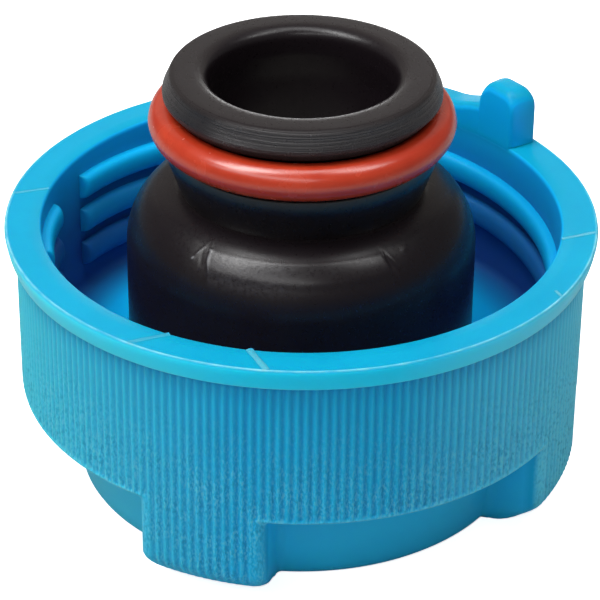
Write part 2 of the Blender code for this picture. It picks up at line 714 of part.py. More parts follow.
def make_cap():
    blue = material("blue_plastic", BLUE, 0.42)
    black = material("black_plastic", BLACK, 0.45)
    red = material("red_rubber", RED, 0.30)
    rubber = material("dark_rubber", DARK_RUBBER, 0.70)
    pale = material("pale_plastic", PALE_PLASTIC, 0.50)
    steel = material("spring_steel", STEEL, 0.32, 1.0)

    make_cap_shell(blue)
    make_valve_housing(black)
    make_neck_o_ring(red)
    make_housing_cover(black)
    flat_ring(
        "thrust_washer",
        BELL_RADIUS - WASHER_WIDTH,
        BELL_RADIUS,
        WASHER_Z,
        WASHER_THICKNESS,
        pale,
    )
    flat_ring(
        "spring_seat",
        COVER_RING_RADIUS + FIT_GAP,
        CHAMBER_RADIUS - FIT_GAP,
        SPRING_SEAT_Z,
        SPRING_SEAT_THICKNESS,
        steel,
        SMALL_STEPS,
    )
    coil_spring(
        "pressure_spring",
        SPRING_RADIUS,
        PRESSURE_WIRE_RADIUS,
        SPRING_FOOT_Z,
        SPRING_HEAD_Z,
        PRESSURE_COILS,
        20,
        6,
        steel,
    )
    make_pressure_plate(black)
    flat_ring(
        "pressure_seal",
        RETAINER_HUB_RADIUS + FIT_GAP,
        SEAT_RADIUS + PRESSURE_SEAL_OVERLAP,
        PRESSURE_SEAL_Z,
        PRESSURE_SEAL_THICKNESS,
        rubber,
    )
    make_seal_retainer(steel)
    make_vacuum_stem(pale)
    flat_ring(
        "vacuum_seal",
        STEM_HOLE_RADIUS,
        HEAD_RADIUS - VACUUM_SEAL_INSET,
        VACUUM_SEAL_Z,
        VACUUM_SEAL_THICKNESS,
        rubber,
        SMALL_STEPS,
    )
    coil_spring(
        "vacuum_spring",
        VACUUM_SPRING_RADIUS,
        VACUUM_WIRE_RADIUS,
        VACUUM_SPRING_Z,
        SPRING_HEAD_Z,
        VACUUM_COILS,
        14,
        6,
        steel,
    )
    make_clip(steel)


clear_scene()
make_cap()
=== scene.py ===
"""Looks of the coolant reservoir cap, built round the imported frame.

Lengths are in metres. Angles round the cap are in degrees, counted from the front (-Y)
towards the right (+X), as in the cap's own design.
"""

import math

import bmesh
import bpy
import numpy as np
from mathutils import Euler, Matrix, Vector


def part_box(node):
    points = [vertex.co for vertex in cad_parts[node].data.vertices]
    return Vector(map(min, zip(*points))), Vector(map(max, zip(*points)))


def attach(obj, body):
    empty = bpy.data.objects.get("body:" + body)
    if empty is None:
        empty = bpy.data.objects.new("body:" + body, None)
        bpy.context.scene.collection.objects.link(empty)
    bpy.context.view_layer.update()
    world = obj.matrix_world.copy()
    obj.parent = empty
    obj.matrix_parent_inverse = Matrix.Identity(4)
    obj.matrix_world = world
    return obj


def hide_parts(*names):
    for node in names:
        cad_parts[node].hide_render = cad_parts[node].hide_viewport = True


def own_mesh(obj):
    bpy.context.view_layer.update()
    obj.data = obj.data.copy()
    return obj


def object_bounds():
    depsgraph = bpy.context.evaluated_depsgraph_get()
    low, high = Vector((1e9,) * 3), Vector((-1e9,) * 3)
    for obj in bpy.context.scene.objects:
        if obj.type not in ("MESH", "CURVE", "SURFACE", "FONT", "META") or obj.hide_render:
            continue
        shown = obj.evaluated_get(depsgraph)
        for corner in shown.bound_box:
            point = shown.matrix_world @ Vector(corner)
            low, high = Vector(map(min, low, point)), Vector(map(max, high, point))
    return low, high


MM = 0.001

# Rim, lip and hollow of the cap shell
CROWN_TO_RIM = 31.2 * MM
RIM_RADIUS = 33.0 * MM
RIM_FLAT_INNER = 29.25 * MM
SKIRT_BORE = 28.9 * MM
LIP_FOOT = 28.65 * MM
LIP_FOOT_RADIUS = 32.5 * MM
LIP_BEAD_SWAY = 0.05 * MM
SHELF_TOP = 13.8 * MM
WELL_LIP_RADIUS = 20.1 * MM
WELL_RADIUS = 22.2 * MM
CROWN_THICKNESS = 2.8 * MM
CROWN_RINGS = (23.6 * MM, 12.0 * MM, 4.0 * MM)
SHELL_SHARP_ANGLE = 60

# Ribs
RIB_COUNT = 205
RIB_COLUMNS = 6
HOLLOW_COARSER = 5
RIB_ROOT = 31.52 * MM
RIB_DEPTH = 0.30 * MM
RIB_CREST_AT = 0.8
RIB_FADE_FROM = 4.2 * MM
RIB_FADE_TO = 0.6 * MM
LAND_HEIGHT = 0.9
LAND_BEFORE_EDGE = 0.35 * MM
LAND_PAST_EDGE = 0.15 * MM

# Lobes, and the recesses between them
LOBE_COUNT = 4
LOBE_CENTRE = 70.4
LOBE_WIDTH = 27.0
LOBE_SECTOR = 360 / LOBE_COUNT
BAND_FOOT = 11.3 * MM
LOBE_END_HEIGHT = 4.0 * MM
LOBE_END_INSET = 5.0 * MM
LOBE_END_SHARPNESS = 1.4
LOBE_END_STEPS = 10
LOBE_CORNER = 1.4 * MM
LOBE_FOOT_SOFTER = 1.0 * MM
LOBE_FOOT_Z = 0.5 * MM
BAND_CORNER = 0.35 * MM
CORNER_DEPTH_SHARE = 0.55
POCKET_WALL = 0.35 * MM
POCKET_FILLET = 1.5 * MM
FILLET_DEPTH_SHARE = 0.35
POCKET_CORNER = 0.7 * MM
CORNER_BLEND = 1.5 * MM
RECESS_LEAST_DEPTH = 0.1 * MM
RECESS_FOOT_RADIUS = 25.2 * MM
RECESS_DRAFT = 1.6 * MM
RECESS_FOOT_ROUND = 1.0 * MM

# Tones of the skirt, above 0 paler and below 0 darker: painted highlight on the rib crests, painted
# shade in the rib valleys and the recesses, and a pale line along the recesses' edges that is partly
# rubbing and partly painted highlight
CREST_HIGHLIGHT = 0.06
VALLEY_SHADE = -0.22
VALLEY_SHADE_POWER = 1.3
RECESS_SHADE = -0.04
EDGE_WEAR_AND_HIGHLIGHT = 0.45
EDGE_MARK_WIDTH = 0.20 * MM
LOBE_SIDE_EDGE_MARK_LOSS = 0.75

# Thread
THREAD_LEAD = 8.6 * MM
THREAD_TOP_DROP = 1.73 * MM
THREAD_CREST = 1.7 * MM
THREAD_FLANK = 0.55 * MM
THREAD_FLANK_REACH = 1.15
THREAD_DEPTH = 1.3 * MM
THREAD_SINK = 0.3 * MM
THREAD_GAP_AT_WALL = 0.02 * MM
THREAD_FULLNESS = 0.55
THREAD_SECTION_STEPS = 14
THREAD_START = -79.0
THREAD_SECOND_LATE = 33.0
THREAD_GAP = 14.0
THREAD_FLOOR_SPACE = 2.6 * MM
THREAD_SHORTEST_RUN = 8
THREAD_STEP = 2
THREAD_TAPER_SPACE = 2.6
THREAD_LEFT_RUN = (-104, -60)
THREAD_BACK_RIGHT_FROM = 74
THREAD_BACK_FROM = 156

# How the ridge grows out of the wall: degrees from its end, and share of its depth
THREAD_TAPER = ((0.0, 0.25), (0.12, 0.55), (0.35, 0.78), (0.7, 0.91), (1.2, 0.98), (1.8, 1.0))

# Witness lines across the rim: inner radius and its angle, outer radius and its angle,
# half width in mm, height in mm, and wear
WITNESS_INNER = RIM_FLAT_INNER - 0.15 * MM
WITNESS_OUTER = RIM_RADIUS - 0.30 * MM
WITNESS_LINES = (
    (WITNESS_INNER, -27.7, WITNESS_OUTER, -32.8, 0.34, 0.06, 0.22),
    (WITNESS_INNER, -10.4, WITNESS_OUTER, -5.9, 0.44, 0.13, 0.38),
    (WITNESS_INNER, 80.0, WITNESS_OUTER, 83.9, 0.26, 0.09, 0.50),
    (RIM_RADIUS - 1.4 * MM, 59.2, WITNESS_OUTER, 57.9, 0.22, 0.07, 0.55),
    (WITNESS_INNER, -100.7, WITNESS_OUTER, -97.3, 0.22, 0.07, 0.35),
    (WITNESS_INNER, 151.0, WITNESS_OUTER, 147.6, 0.26, 0.08, 0.35),
    (WITNESS_INNER, 169.6, WITNESS_OUTER, 174.2, 0.26, 0.08, 0.35),
)
WITNESS_SINK = 0.25

# Tab on the rim
TAB_START = 123.2
TAB_POST_END = 134.5
TAB_WALL_END = 150.0
TAB_RAMP_END = 154.0
TAB_POST = 6.8 * MM
TAB_CORNER = 2.2 * MM
TAB_WALL = 2.4 * MM
TAB_WALL_RISE = 1.0 * MM
TAB_WALL_RISE_REACH = 9
TAB_POST_LEAN = 0.35
TAB_SINK = 0.9 * MM
TAB_INNER_INSET = 0.03 * MM
TAB_OUTER_INSET = 0.40 * MM
TAB_END_ROUND = 0.7 * MM
TAB_POST_EDGE = 1.2 * MM
TAB_WALL_EDGE = 0.9 * MM
TAB_EDGE_STEPS = 6

# Valve housing, outside
FOOT_Z = 4.0 * MM
SNAP_CHAMFER_Z = 7.2 * MM
SNAP_FLANGE_RADIUS = 21.6 * MM
SNAP_FLANGE_Z = 9.2 * MM
SNAP_FLANGE_TOP = 11.0 * MM
BELL_RADIUS = 19.5 * MM
BELL_TOP = 28.2 * MM
SHOULDER_FULLNESS = 4.2 * MM
SHOULDER_REACH = 3.0 * MM
SHOULDER_RISE = 0.4 * MM
SHOULDER_STEPS = 44
WAIST_RADIUS = 13.6 * MM
WAIST_ROUND = 0.35 * MM
WAIST_Z = 35.5 * MM
COLLAR_RADIUS = 15.0 * MM
COLLAR_Z = 39.5 * MM
GROOVE_Z = 40.9 * MM
GROOVE_TOP = 45.5 * MM
GROOVE_RADIUS = 12.55 * MM
FLANGE_RADIUS = 15.3 * MM
NECK_END = 49.0 * MM
HOUSING_LONGEST = 0.9 * MM
HOUSING_SHARP_ANGLE = 50

# Valve housing, inside
MOUTH_RADIUS = 10.3 * MM
MOUTH_ROUND = 1.7 * MM
MOUTH_DEPTH = 3.0 * MM
BORE_RADIUS = 10.7 * MM
BORE_FROM_END = 6.0 * MM
SEAT_RADIUS = 12.6 * MM
SEAT_Z = 31.4 * MM
CEILING_RADIUS = 14.6 * MM
CEILING_Z = 33.0 * MM
CHAMBER_RADIUS = 16.8 * MM
CHAMBER_TOP = 29.0 * MM
COVER_POCKET_RADIUS = 17.5 * MM
COVER_POCKET_TOP = 7.1 * MM
COVER_POCKET_Z = 4.5 * MM
FOOT_BORE_RADIUS = 16.9 * MM

# Marks that the mould left on the bell's shoulder
PAD_MIDDLES = (0.0, 180.0)
PAD_LIFT = 0.11 * MM
PAD_LEFT = (-34.6, -34.0)
PAD_LEFT_LEAN = 1.2
PAD_RIGHT = (31.8, 32.4)
PAD_MIDDLE_Z = 33.6
PAD_TOP = (34.35 * MM, 34.5 * MM)
PAD_LIFT_FROM = (32.0 * MM, 33.0 * MM)
PAD_SCUFF_AND_HIGHLIGHT_FROM = (30.8 * MM, 32.3 * MM)
# The pad's scuff fades towards its right half, where no highlight falls: painted highlight as well
# as scuff
PAD_HIGHLIGHT_FADE = (-12.0, 6.0)
PAD_RIGHT_SCUFF_AND_HIGHLIGHT = 0.30
# Painted shade: the shoulder's sides and the waist are dulled, except on the stretch from the left
# to the front, where the highlight falls
UNSHADED_FROM = (-46.0, -41.0)
UNSHADED_TO = (-12.0, 8.0)
SHOULDER_SHADE = 0.6
SHOULDER_SHADE_FROM = (29.0 * MM, 31.0 * MM)
WAIST_SHADE = 0.8
WAIST_SHADE_FROM = (34.3 * MM, 34.7 * MM)
SHOULDER_OUTSIDE = 46.5 * MM

# Scars beside the pads: angle, height in mm, width in degrees, reach in mm,
# lean in degrees a mm, lift in mm, and tone: above 1 a painted highlight, from 0 to 1 scuff, below 0
# painted shade
SCARS = (
    (-34.6, 33.6, 0.60, 0.85, -1.2, 0.08, 1.45),
    (-36.2, 34.3, 1.80, 0.16, 0.0, 0.03, 0.7),
    (-39.3, 33.9, 0.70, 0.60, 2.0, 0.05, 1.45),
    (-40.8, 33.2, 1.20, 0.18, 0.0, 0.03, 1.3),
    (-37.2, 33.4, 0.90, 0.50, -1.5, -0.05, -0.5),
    (33.0, 33.5, 0.90, 0.80, -1.8, -0.13, -0.4),
    (34.8, 33.5, 0.90, 0.70, -1.8, 0.07, 0.3),
    (41.0, 34.2, 1.60, 0.25, 1.5, 0.06, 0.3),
    (144.5, 33.6, 0.6, 0.9, 0.0, 0.12, 1.4),
    (-147.0, 33.6, 0.6, 0.8, 1.0, 0.12, 1.2),
)
MARKED_STRETCHES = ((-44.0, -31.0), (30.0, 44.0), (142.0, 147.0), (-149.0, -144.0))
MARKED_STEP = 0.25
PLAIN_STEP = 1.8

# Painted shade on the neck's end and in the bore, which are darker than the bell: darker black and
# lowered gloss, most inside the bore
NECK_END_SHADE = -0.35
BORE_SHADE = -1.0
BORE_SIDE = 12.4 * MM
BORE_DARK_FROM = NECK_END - 0.5 * MM
BORE_DARK_TO = NECK_END - 2.0 * MM

# O-ring
O_RING_MAJOR = 14.85 * MM
O_RING_SECTION = 2.0 * MM
O_RING_TALLER = 0.02 * MM
O_RING_Z = 43.26 * MM
O_RING_COLUMNS = 320
O_RING_STEPS = 36
FLASH_HEIGHT = 0.04 * MM
FLASH_WIDTH = 0.06

# Springs: name, body, joint, wire radius, coils, share kept at full travel, fixed at the top
SPRINGS = (
    ("pressure_spring", "valve_insert", "pressure_valve_lift", 0.9 * MM, 5.5, 0.866, False),
    ("vacuum_spring", "pressure_valve", "vacuum_valve_lift", 0.3 * MM, 4.5, 0.72, True),
)
SPRING_END_TURNS = 0.75
SPRING_CLOSED_PITCH = 2.1
SPRING_TURN_STEPS = 56
SPRING_WIRE_STEPS = 16

# Camera, fitted to the photo
CAMERA_DISTANCE = 316.2 * MM
CAMERA_ELEVATION = 30.95
CAMERA_ROLL = 0.58
CAMERA_LENS = 167.1
CAMERA_TARGET = Vector((-0.06 * MM, 0, CROWN_TO_RIM - 11.2 * MM))

# Softboxes: name, place, width, depth, watts and tint
LIGHTS_AIM = (0, 0, 0.03)
WHITE = (1.0, 1.0, 1.0)
SOFTBOXES = (
    ("key", (-0.32, -0.11, 0.67), 0.26, 0.36, 3.5, WHITE),
    ("second key", (0.31, -0.08, 0.67), 0.20, 0.30, 1.25, WHITE),
    ("overhead", (-0.03, 0.05, 0.80), 0.50, 0.34, 2.0, WHITE),
    ("front", (-0.27, -0.44, 0.52), 0.90, 0.16, 1.65, WHITE),
    ("low back", (0.03, 0.80, 0.11), 0.20, 0.09, 0.34, WHITE),
    ("backdrop", (0.0, 0.75, 0.45), 1.30, 0.60, 0.6, (1.0, 0.91, 0.78)),
)
WORLD_STRENGTH = 0.15
FLOOR_HALF = 1.6
FLOOR_GAP = 0.02 * MM
FLOOR_GLOW = 0.86

# Colours, linear
HOLLOW_BLUES = ((0.001, 0.315, 0.520, 1), (0.002, 0.345, 0.560, 1))
# Painted light: the outside of the skirt is painted lighter than the rim and the hollow
SKIRT_LIT_BLUES = ((0.003, 0.420, 0.750, 1), (0.005, 0.460, 0.800, 1))
# Painted light: the recesses' back walls are painted lighter, against the shade they lie in
RECESS_LIT_BLUE = (0.022, 0.560, 0.930, 1)
# Painted light: the lip's side is painted lightest
LIP_LIT_BLUE = (0.005, 0.690, 1.000, 1)
# Painted sheen: the skirt's right and left sides are painted paler, for the pale reflection along
# their grazing edges
RIGHT_SHEEN_BLUE = (0.200, 0.800, 0.920, 1)
LEFT_SHEEN_BLUE = (0.130, 0.760, 0.680, 1)
# Painted light: a brighter, deeper blue on the hollow's inside and the tab's upright sides, for
# light passing through the thin plastic
INNER_SIDE_LIT_BLUE = (0.003, 0.460, 0.940, 1)
# Painted shade: the dark blue that values below 0 mix in
DEEP_SHADE_BLUE = (0.018, 0.080, 0.340, 1)
# Rubbing and painted highlight: the pale blue that values above 0 mix in
RUBBED_AND_HIGHLIGHT_BLUE = (0.270, 0.700, 0.800, 1)
# Painted shade on the ribs' tops under the lip
UNDER_LIP_SHADE_BLUE = (0.001, 0.270, 0.600, 1)
PALE_DUST = (0.200, 0.640, 0.740, 1)
DARK_DUST = (0.020, 0.225, 0.390, 1)
BLACKS = ((0.0085, 0.0060, 0.0072, 1), (0.0116, 0.0084, 0.0095, 1))
# Scuff and painted highlight on the shoulder's pads
SCUFF_AND_HIGHLIGHT_BLACK = (0.046, 0.043, 0.048, 1)
# Painted highlight on the scars
SCAR_HIGHLIGHT_BLACK = (0.340, 0.340, 0.350, 1)
# Painted shade: the black, with lowered gloss, of the bore, the neck's end, the shoulder's sides and
# the waist
DULL_SHADE_BLACK = (0.0100, 0.0070, 0.0090, 1)
REDS = ((0.430, 0.030, 0.009, 1), (0.500, 0.044, 0.014, 1))
RED_SPECK = (0.85, 0.35, 0.28, 1)
DARK_RUBBERS = ((0.010, 0.010, 0.010, 1), (0.018, 0.018, 0.018, 1))
PALE_PLASTICS = ((0.58, 0.56, 0.50, 1), (0.66, 0.64, 0.58, 1))
STEELS = ((0.44, 0.44, 0.43, 1), (0.56, 0.56, 0.55, 1))
PAPERS = ((0.93, 0.93, 0.93, 1), (0.95, 0.95, 0.95, 1))
PAPER_FOR_LIGHT = (0.50, 0.50, 0.50, 1)

# Heights and radii between which one tone of the blue plastic goes over into the next
BELOW_RIM = (CROWN_TO_RIM, CROWN_TO_RIM - 0.3 * MM)
SKIRT_OUTSIDE = (29.7 * MM, 30.0 * MM)
UNDER_SHELF = (12.0 * MM, 11.6 * MM)
LIP_OUTSIDE = (32.15 * MM, 32.25 * MM)
LIP_ABOVE = (28.5 * MM, 28.7 * MM)
RECESS_INSIDE = (30.6 * MM, 29.8 * MM)
RECESS_BELOW = (11.8 * MM, 11.4 * MM)
TOWARDS_RIGHT = (10.0 * MM, 32.0 * MM)
TOWARDS_LEFT = (-6.0 * MM, -32.5 * MM)
RIB_FACE = (30.9 * MM, 31.4 * MM)
HOLLOW_INSIDE = (29.22 * MM, 29.00 * MM)
HOLLOW_ABOVE = (11.8 * MM, 12.6 * MM)
TAB_ABOVE = (31.28 * MM, 31.40 * MM)
TAB_INWARD = (32.2 * MM, 29.8 * MM)
TAB_UPRIGHT = (0.75, 0.35)
RIBS_OUTSIDE = (30.8 * MM, 31.3 * MM)
RIBS_BELOW = (28.7 * MM, 28.5 * MM)
LIP_SHADOW = (25.5 * MM, 28.6 * MM)
DUST_FALL = (25.5 * MM, 14.0 * MM)
FLANGE_ABOVE = (45.5 * MM, 45.8 * MM)
FLANGE_OUTSIDE = (14.2 * MM, 14.5 * MM)

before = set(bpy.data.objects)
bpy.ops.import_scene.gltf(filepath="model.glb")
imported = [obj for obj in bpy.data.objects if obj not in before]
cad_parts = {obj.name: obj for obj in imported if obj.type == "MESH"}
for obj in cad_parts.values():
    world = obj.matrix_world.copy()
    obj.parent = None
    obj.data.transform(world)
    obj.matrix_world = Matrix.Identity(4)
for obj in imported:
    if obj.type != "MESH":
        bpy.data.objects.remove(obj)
cad_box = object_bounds()


def polar(radius, degrees, z):
    turn = math.radians(degrees)
    return (radius * math.sin(turn), -radius * math.cos(turn), z)


def signed_turn(degrees):
    """The same angle, between -180 and 180."""
    return (degrees + 180) % 360 - 180


def smooth_step(low, high, value):
    share = np.clip((value - low) / (high - low), 0.0, 1.0)
    return share * share * (3 - 2 * share)


def new_object(name, mesh, body, slot, *nodes):
    mesh.shade_smooth()
    item = bpy.data.objects.new(name, mesh)
    bpy.context.scene.collection.objects.link(item)
    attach(item, body)
    if nodes:
        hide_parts(*nodes)
    return item


class Shape:
    """Vertices, faces and a tone value for each vertex, for rubbing, scuffs, painted highlights and
    painted shade, gathered before they become one mesh.
    """

    def __init__(self):
        self.points = []
        self.faces = []
        self.wear_and_painted_light = []
        self.count = 0

    def ring(self, radii, degrees, heights, wear_and_painted_light=0.0):
        """Add a closed ring of vertices and return its vertex numbers."""
        turn = np.radians(degrees)
        radii = np.broadcast_to(radii, turn.shape)
        heights = np.broadcast_to(heights, turn.shape)
        wear_and_painted_light = np.broadcast_to(wear_and_painted_light, turn.shape)
        self.points.append(np.stack([radii * np.sin(turn), -radii * np.cos(turn), heights], 1))
        self.wear_and_painted_light.append(wear_and_painted_light)
        numbers = np.arange(self.count, self.count + len(turn))
        self.count += len(turn)
        return numbers

    def bridge(self, lower, upper):
        """Join two rings with the same number of vertices."""
        after = np.roll(lower, -1)
        above = np.roll(upper, -1)
        self.faces += np.stack([lower, after, above, upper], 1).tolist()

    def bridge_all(self, rings):
        """Join each ring to the next."""
        for lower, upper in zip(rings, rings[1:]):
            self.bridge(lower, upper)

    def stitch(self, fine, coarse):
        """Join a fine ring to a coarse one whose count divides it."""
        share = len(fine) // len(coarse)
        for i in range(len(coarse)):
            j = (i + 1) % len(coarse)
            run = [int(fine[(i * share + k) % len(fine)]) for k in range(share + 1)]
            self.faces.append(run + [int(coarse[j]), int(coarse[i])])

    def solid(self, levels, wear_and_painted_light=0.0):
        """Add a closed solid between outlines with the same number of points."""
        rings = []
        wear_and_light_values = np.broadcast_to(wear_and_painted_light, len(levels))
        for level, value in zip(levels, wear_and_light_values):
            self.points.append(np.array(level, float))
            self.wear_and_painted_light.append(np.full(len(level), value))
            rings.append(np.arange(self.count, self.count + len(level)))
            self.count += len(level)
        self.bridge_all(rings)
        self.faces.append(rings[0][::-1].tolist())
        self.faces.append(rings[-1].tolist())

    def mesh(self, name, look):
        made = bpy.data.meshes.new(name)
        made.from_pydata(np.concatenate(self.points), [], self.faces)
        wear_and_painted_light = made.attributes.new("wear_and_painted_light", "FLOAT", "POINT")
        wear_and_painted_light.data.foreach_set("value", np.concatenate(self.wear_and_painted_light).astype(np.float32))
        bm = bmesh.new()
        bm.from_mesh(made)
        bmesh.ops.recalc_face_normals(bm, faces=bm.faces)
        bm.to_mesh(made)
        bm.free()
        made.materials.append(look)
        return made


def rib_wave(degrees):
    """1 on a rib's crest and 0 in the valley beside it."""
    turns = degrees * RIB_COUNT / 360 - RIB_CREST_AT
    return 0.5 + 0.5 * np.cos(2 * np.pi * turns)


def waver(degrees, seed):
    """Slow unevenness round the cap, from about 0.3 to 1."""
    turn = np.radians(degrees)
    value = 0.65
    for cycles, share in ((5, 0.10), (17, 0.09), (41, 0.09), (97, 0.08)):
        value = value + share * np.sin(cycles * turn + seed * cycles * 1.7)
    return value


def pocket_distance(degrees, z):
    """How far a point of the unrolled skirt lies inside the space between two lobes.

    The second value is 1 where the nearest edge is a lobe's side and 0 where it is the band's foot.
    """
    from_middle = (degrees - LOBE_CENTRE) % LOBE_SECTOR - LOBE_SECTOR / 2
    across = np.abs(np.radians(from_middle)) * RIM_RADIUS
    half_width = math.radians((LOBE_SECTOR - LOBE_WIDTH) / 2) * RIM_RADIUS
    dx = across - (half_width - POCKET_CORNER)
    dz = np.full_like(dx, z - (BAND_FOOT - POCKET_CORNER))
    outside = np.hypot(np.maximum(dx, 0), np.maximum(dz, 0))
    inside = POCKET_CORNER - outside - np.minimum(np.maximum(dx, dz), 0)
    sideways = np.clip((dx - dz) / CORNER_BLEND + 0.5, 0, 1)
    return inside, sideways


def recess_radius(z):
    """Radius of the recesses' back wall, which has draft and a rounded foot."""
    radius = RECESS_FOOT_RADIUS + RECESS_DRAFT * z / BAND_FOOT
    into_round = max(RECESS_FOOT_ROUND - z, 0)
    return radius - RECESS_FOOT_ROUND + math.sqrt(RECESS_FOOT_ROUND**2 - into_round**2)


def lobe_face(degrees, land, z):
    """Radius of the lobes' and the band's outer face, which curves inwards at the lobes' ends."""
    face = RIB_ROOT + RIB_DEPTH * (rib_wave(degrees) * (1 - land) + land * LAND_HEIGHT)
    turn = np.clip((LOBE_END_HEIGHT - z) / LOBE_END_HEIGHT, 0, 1)
    power = LOBE_END_SHARPNESS
    return face - LOBE_END_INSET * (1 - (1 - turn**power) ** (1 / power))


def pocket_drop(inside, corner, depth):
    """Fall from the face into a recess: a rounded edge, a steep wall and a fillet at its foot."""
    fillet = np.minimum(POCKET_FILLET, depth * FILLET_DEPTH_SHARE)
    near = np.clip((inside + corner) / corner, 0, 1)
    wall = np.clip(inside / POCKET_WALL, 0, 1)
    far = np.clip((inside - POCKET_WALL) / fillet, 0, 1)
    drop = corner * (1 - np.sqrt(1 - near**2))
    drop = drop + (depth - corner - fillet) * wall
    return drop + fillet * np.sqrt(1 - (1 - far) ** 2)


def skirt_light_shade_and_wear(degrees, inside, sideways, corner, land):
    """Tone of the ribs, of the recesses and of the edges between them: painted highlight on the
    crests, painted shade in the valleys and recesses, and a pale edge line that is partly rubbing
    and partly painted highlight.
    """
    # Pale line along the recesses' edges: partly rubbing, partly painted highlight
    edge = np.exp(-((inside + corner * 0.5) / (EDGE_MARK_WIDTH + 0.20 * corner)) ** 2)
    edge = edge * (1 - LOBE_SIDE_EDGE_MARK_LOSS * sideways)
    wave = rib_wave(degrees)
    # Painted highlight on the rib crests and painted shade in the rib valleys
    ribs = (CREST_HIGHLIGHT * wave**3 + VALLEY_SHADE * (1 - wave) ** VALLEY_SHADE_POWER) * (1 - land)
    # Painted shade, deeper inside the recesses
    sunk = RECESS_SHADE * np.clip((inside - 0.1 * MM) / (0.6 * MM), 0, 1)
    return ribs + sunk + EDGE_WEAR_AND_HIGHLIGHT * edge * waver(degrees, 3)


def skirt_row(degrees, z):
    """Radius and tone of the ribbed skirt, the lobes and the recesses at one height; the tone holds
    painted highlight and painted shade.
    """
    inside, sideways = pocket_distance(degrees, z)
    low_down = smooth_step(LOBE_END_HEIGHT, LOBE_FOOT_Z, z)
    corner = BAND_CORNER + (LOBE_CORNER - BAND_CORNER + LOBE_FOOT_SOFTER * low_down) * sideways
    land = smooth_step(-LAND_BEFORE_EDGE, LAND_PAST_EDGE, inside + corner)
    land = np.maximum(land, 1 - smooth_step(RIB_FADE_TO, RIB_FADE_FROM, z))
    face = lobe_face(degrees, land, z)
    depth = np.maximum(face - recess_radius(z), RECESS_LEAST_DEPTH)
    corner = np.minimum(corner, depth * CORNER_DEPTH_SHARE)
    wear_and_painted_light = skirt_light_shade_and_wear(degrees, inside, sideways, corner, land)
    return face - pocket_drop(inside, corner, depth), wear_and_painted_light


def skirt_heights():
    """Heights of the skirt's rows, closer together at the band's foot and at the lobes' ends."""
    heights = [LIP_FOOT - 0.03 * MM]
    heights += list(np.linspace(LIP_FOOT - 1.2 * MM, BAND_FOOT + 1.6 * MM, 4))
    heights += list(np.linspace(BAND_FOOT + 1.0 * MM, BAND_FOOT - 1.9 * MM, 26))
    heights += list(np.linspace(BAND_FOOT - 2.6 * MM, LOBE_END_HEIGHT + 0.6 * MM, 5))
    for i in range(LOBE_END_STEPS):
        heights.append(LOBE_END_HEIGHT * (1 - math.sin(math.pi / 2 * i / LOBE_END_STEPS)))
    return heights + [0.0]


def build_shell_outside(shape, degrees):
    """Rim, lip, ribs, lobes and recesses; returns the innermost rim ring and the crown ring."""
    # Radius, height and tone, from the rim's flat over its raised edge to the lip's foot: a pale
    # line along the raised edge, partly rubbing and partly painted highlight; a painted highlight
    # line at the lip's foot; painted shade on the ribs' tops under the lip
    lip = [
        (RIM_FLAT_INNER, CROWN_TO_RIM, 0.0),
        (RIM_RADIUS - 2.4 * MM, CROWN_TO_RIM, 0.0),
        (RIM_RADIUS - 1.0 * MM, CROWN_TO_RIM, 0.0),
        (RIM_RADIUS - 0.42 * MM, CROWN_TO_RIM, 0.0),
        (RIM_RADIUS - 0.32 * MM, CROWN_TO_RIM + 0.01 * MM, 0.2),
        (RIM_RADIUS - 0.25 * MM, CROWN_TO_RIM + 0.05 * MM, 0.9),
        (RIM_RADIUS - 0.17 * MM, CROWN_TO_RIM + 0.05 * MM, 1.0),
        (RIM_RADIUS - 0.10 * MM, CROWN_TO_RIM - 0.01 * MM, 0.8),
        (RIM_RADIUS - 0.05 * MM, CROWN_TO_RIM - 0.12 * MM, 0.1),
        (RIM_RADIUS, CROWN_TO_RIM - 0.35 * MM, 0.0),
        (RIM_RADIUS - 0.12 * MM, CROWN_TO_RIM - 1.0 * MM, 0.0),
        (RIM_RADIUS - 0.28 * MM, CROWN_TO_RIM - 1.7 * MM, 0.0),
        (LIP_FOOT_RADIUS, LIP_FOOT + 0.25 * MM, 0.05),
        (LIP_FOOT_RADIUS - 0.05 * MM, LIP_FOOT + 0.10 * MM, 0.42),
        (LIP_FOOT_RADIUS - 0.16 * MM, LIP_FOOT + 0.02 * MM, 0.05),
        (RIB_ROOT + RIB_DEPTH + 0.1 * MM, LIP_FOOT, -0.3),
    ]
    uneven = waver(degrees, 1)
    rings = []
    for radius, z, wear_and_painted_light in lip:
        on_bead = wear_and_painted_light > 0.5
        bead = LIP_BEAD_SWAY * (uneven - 0.65) if on_bead else 0
        rings.append(shape.ring(radius + bead, degrees, z, wear_and_painted_light * uneven**1.5 * 1.5))
    for z in skirt_heights():
        radius, wear_and_painted_light = skirt_row(degrees, z)
        rings.append(shape.ring(radius, degrees, z, wear_and_painted_light))
    shape.bridge_all(rings)
    return rings[0], rings[-1]


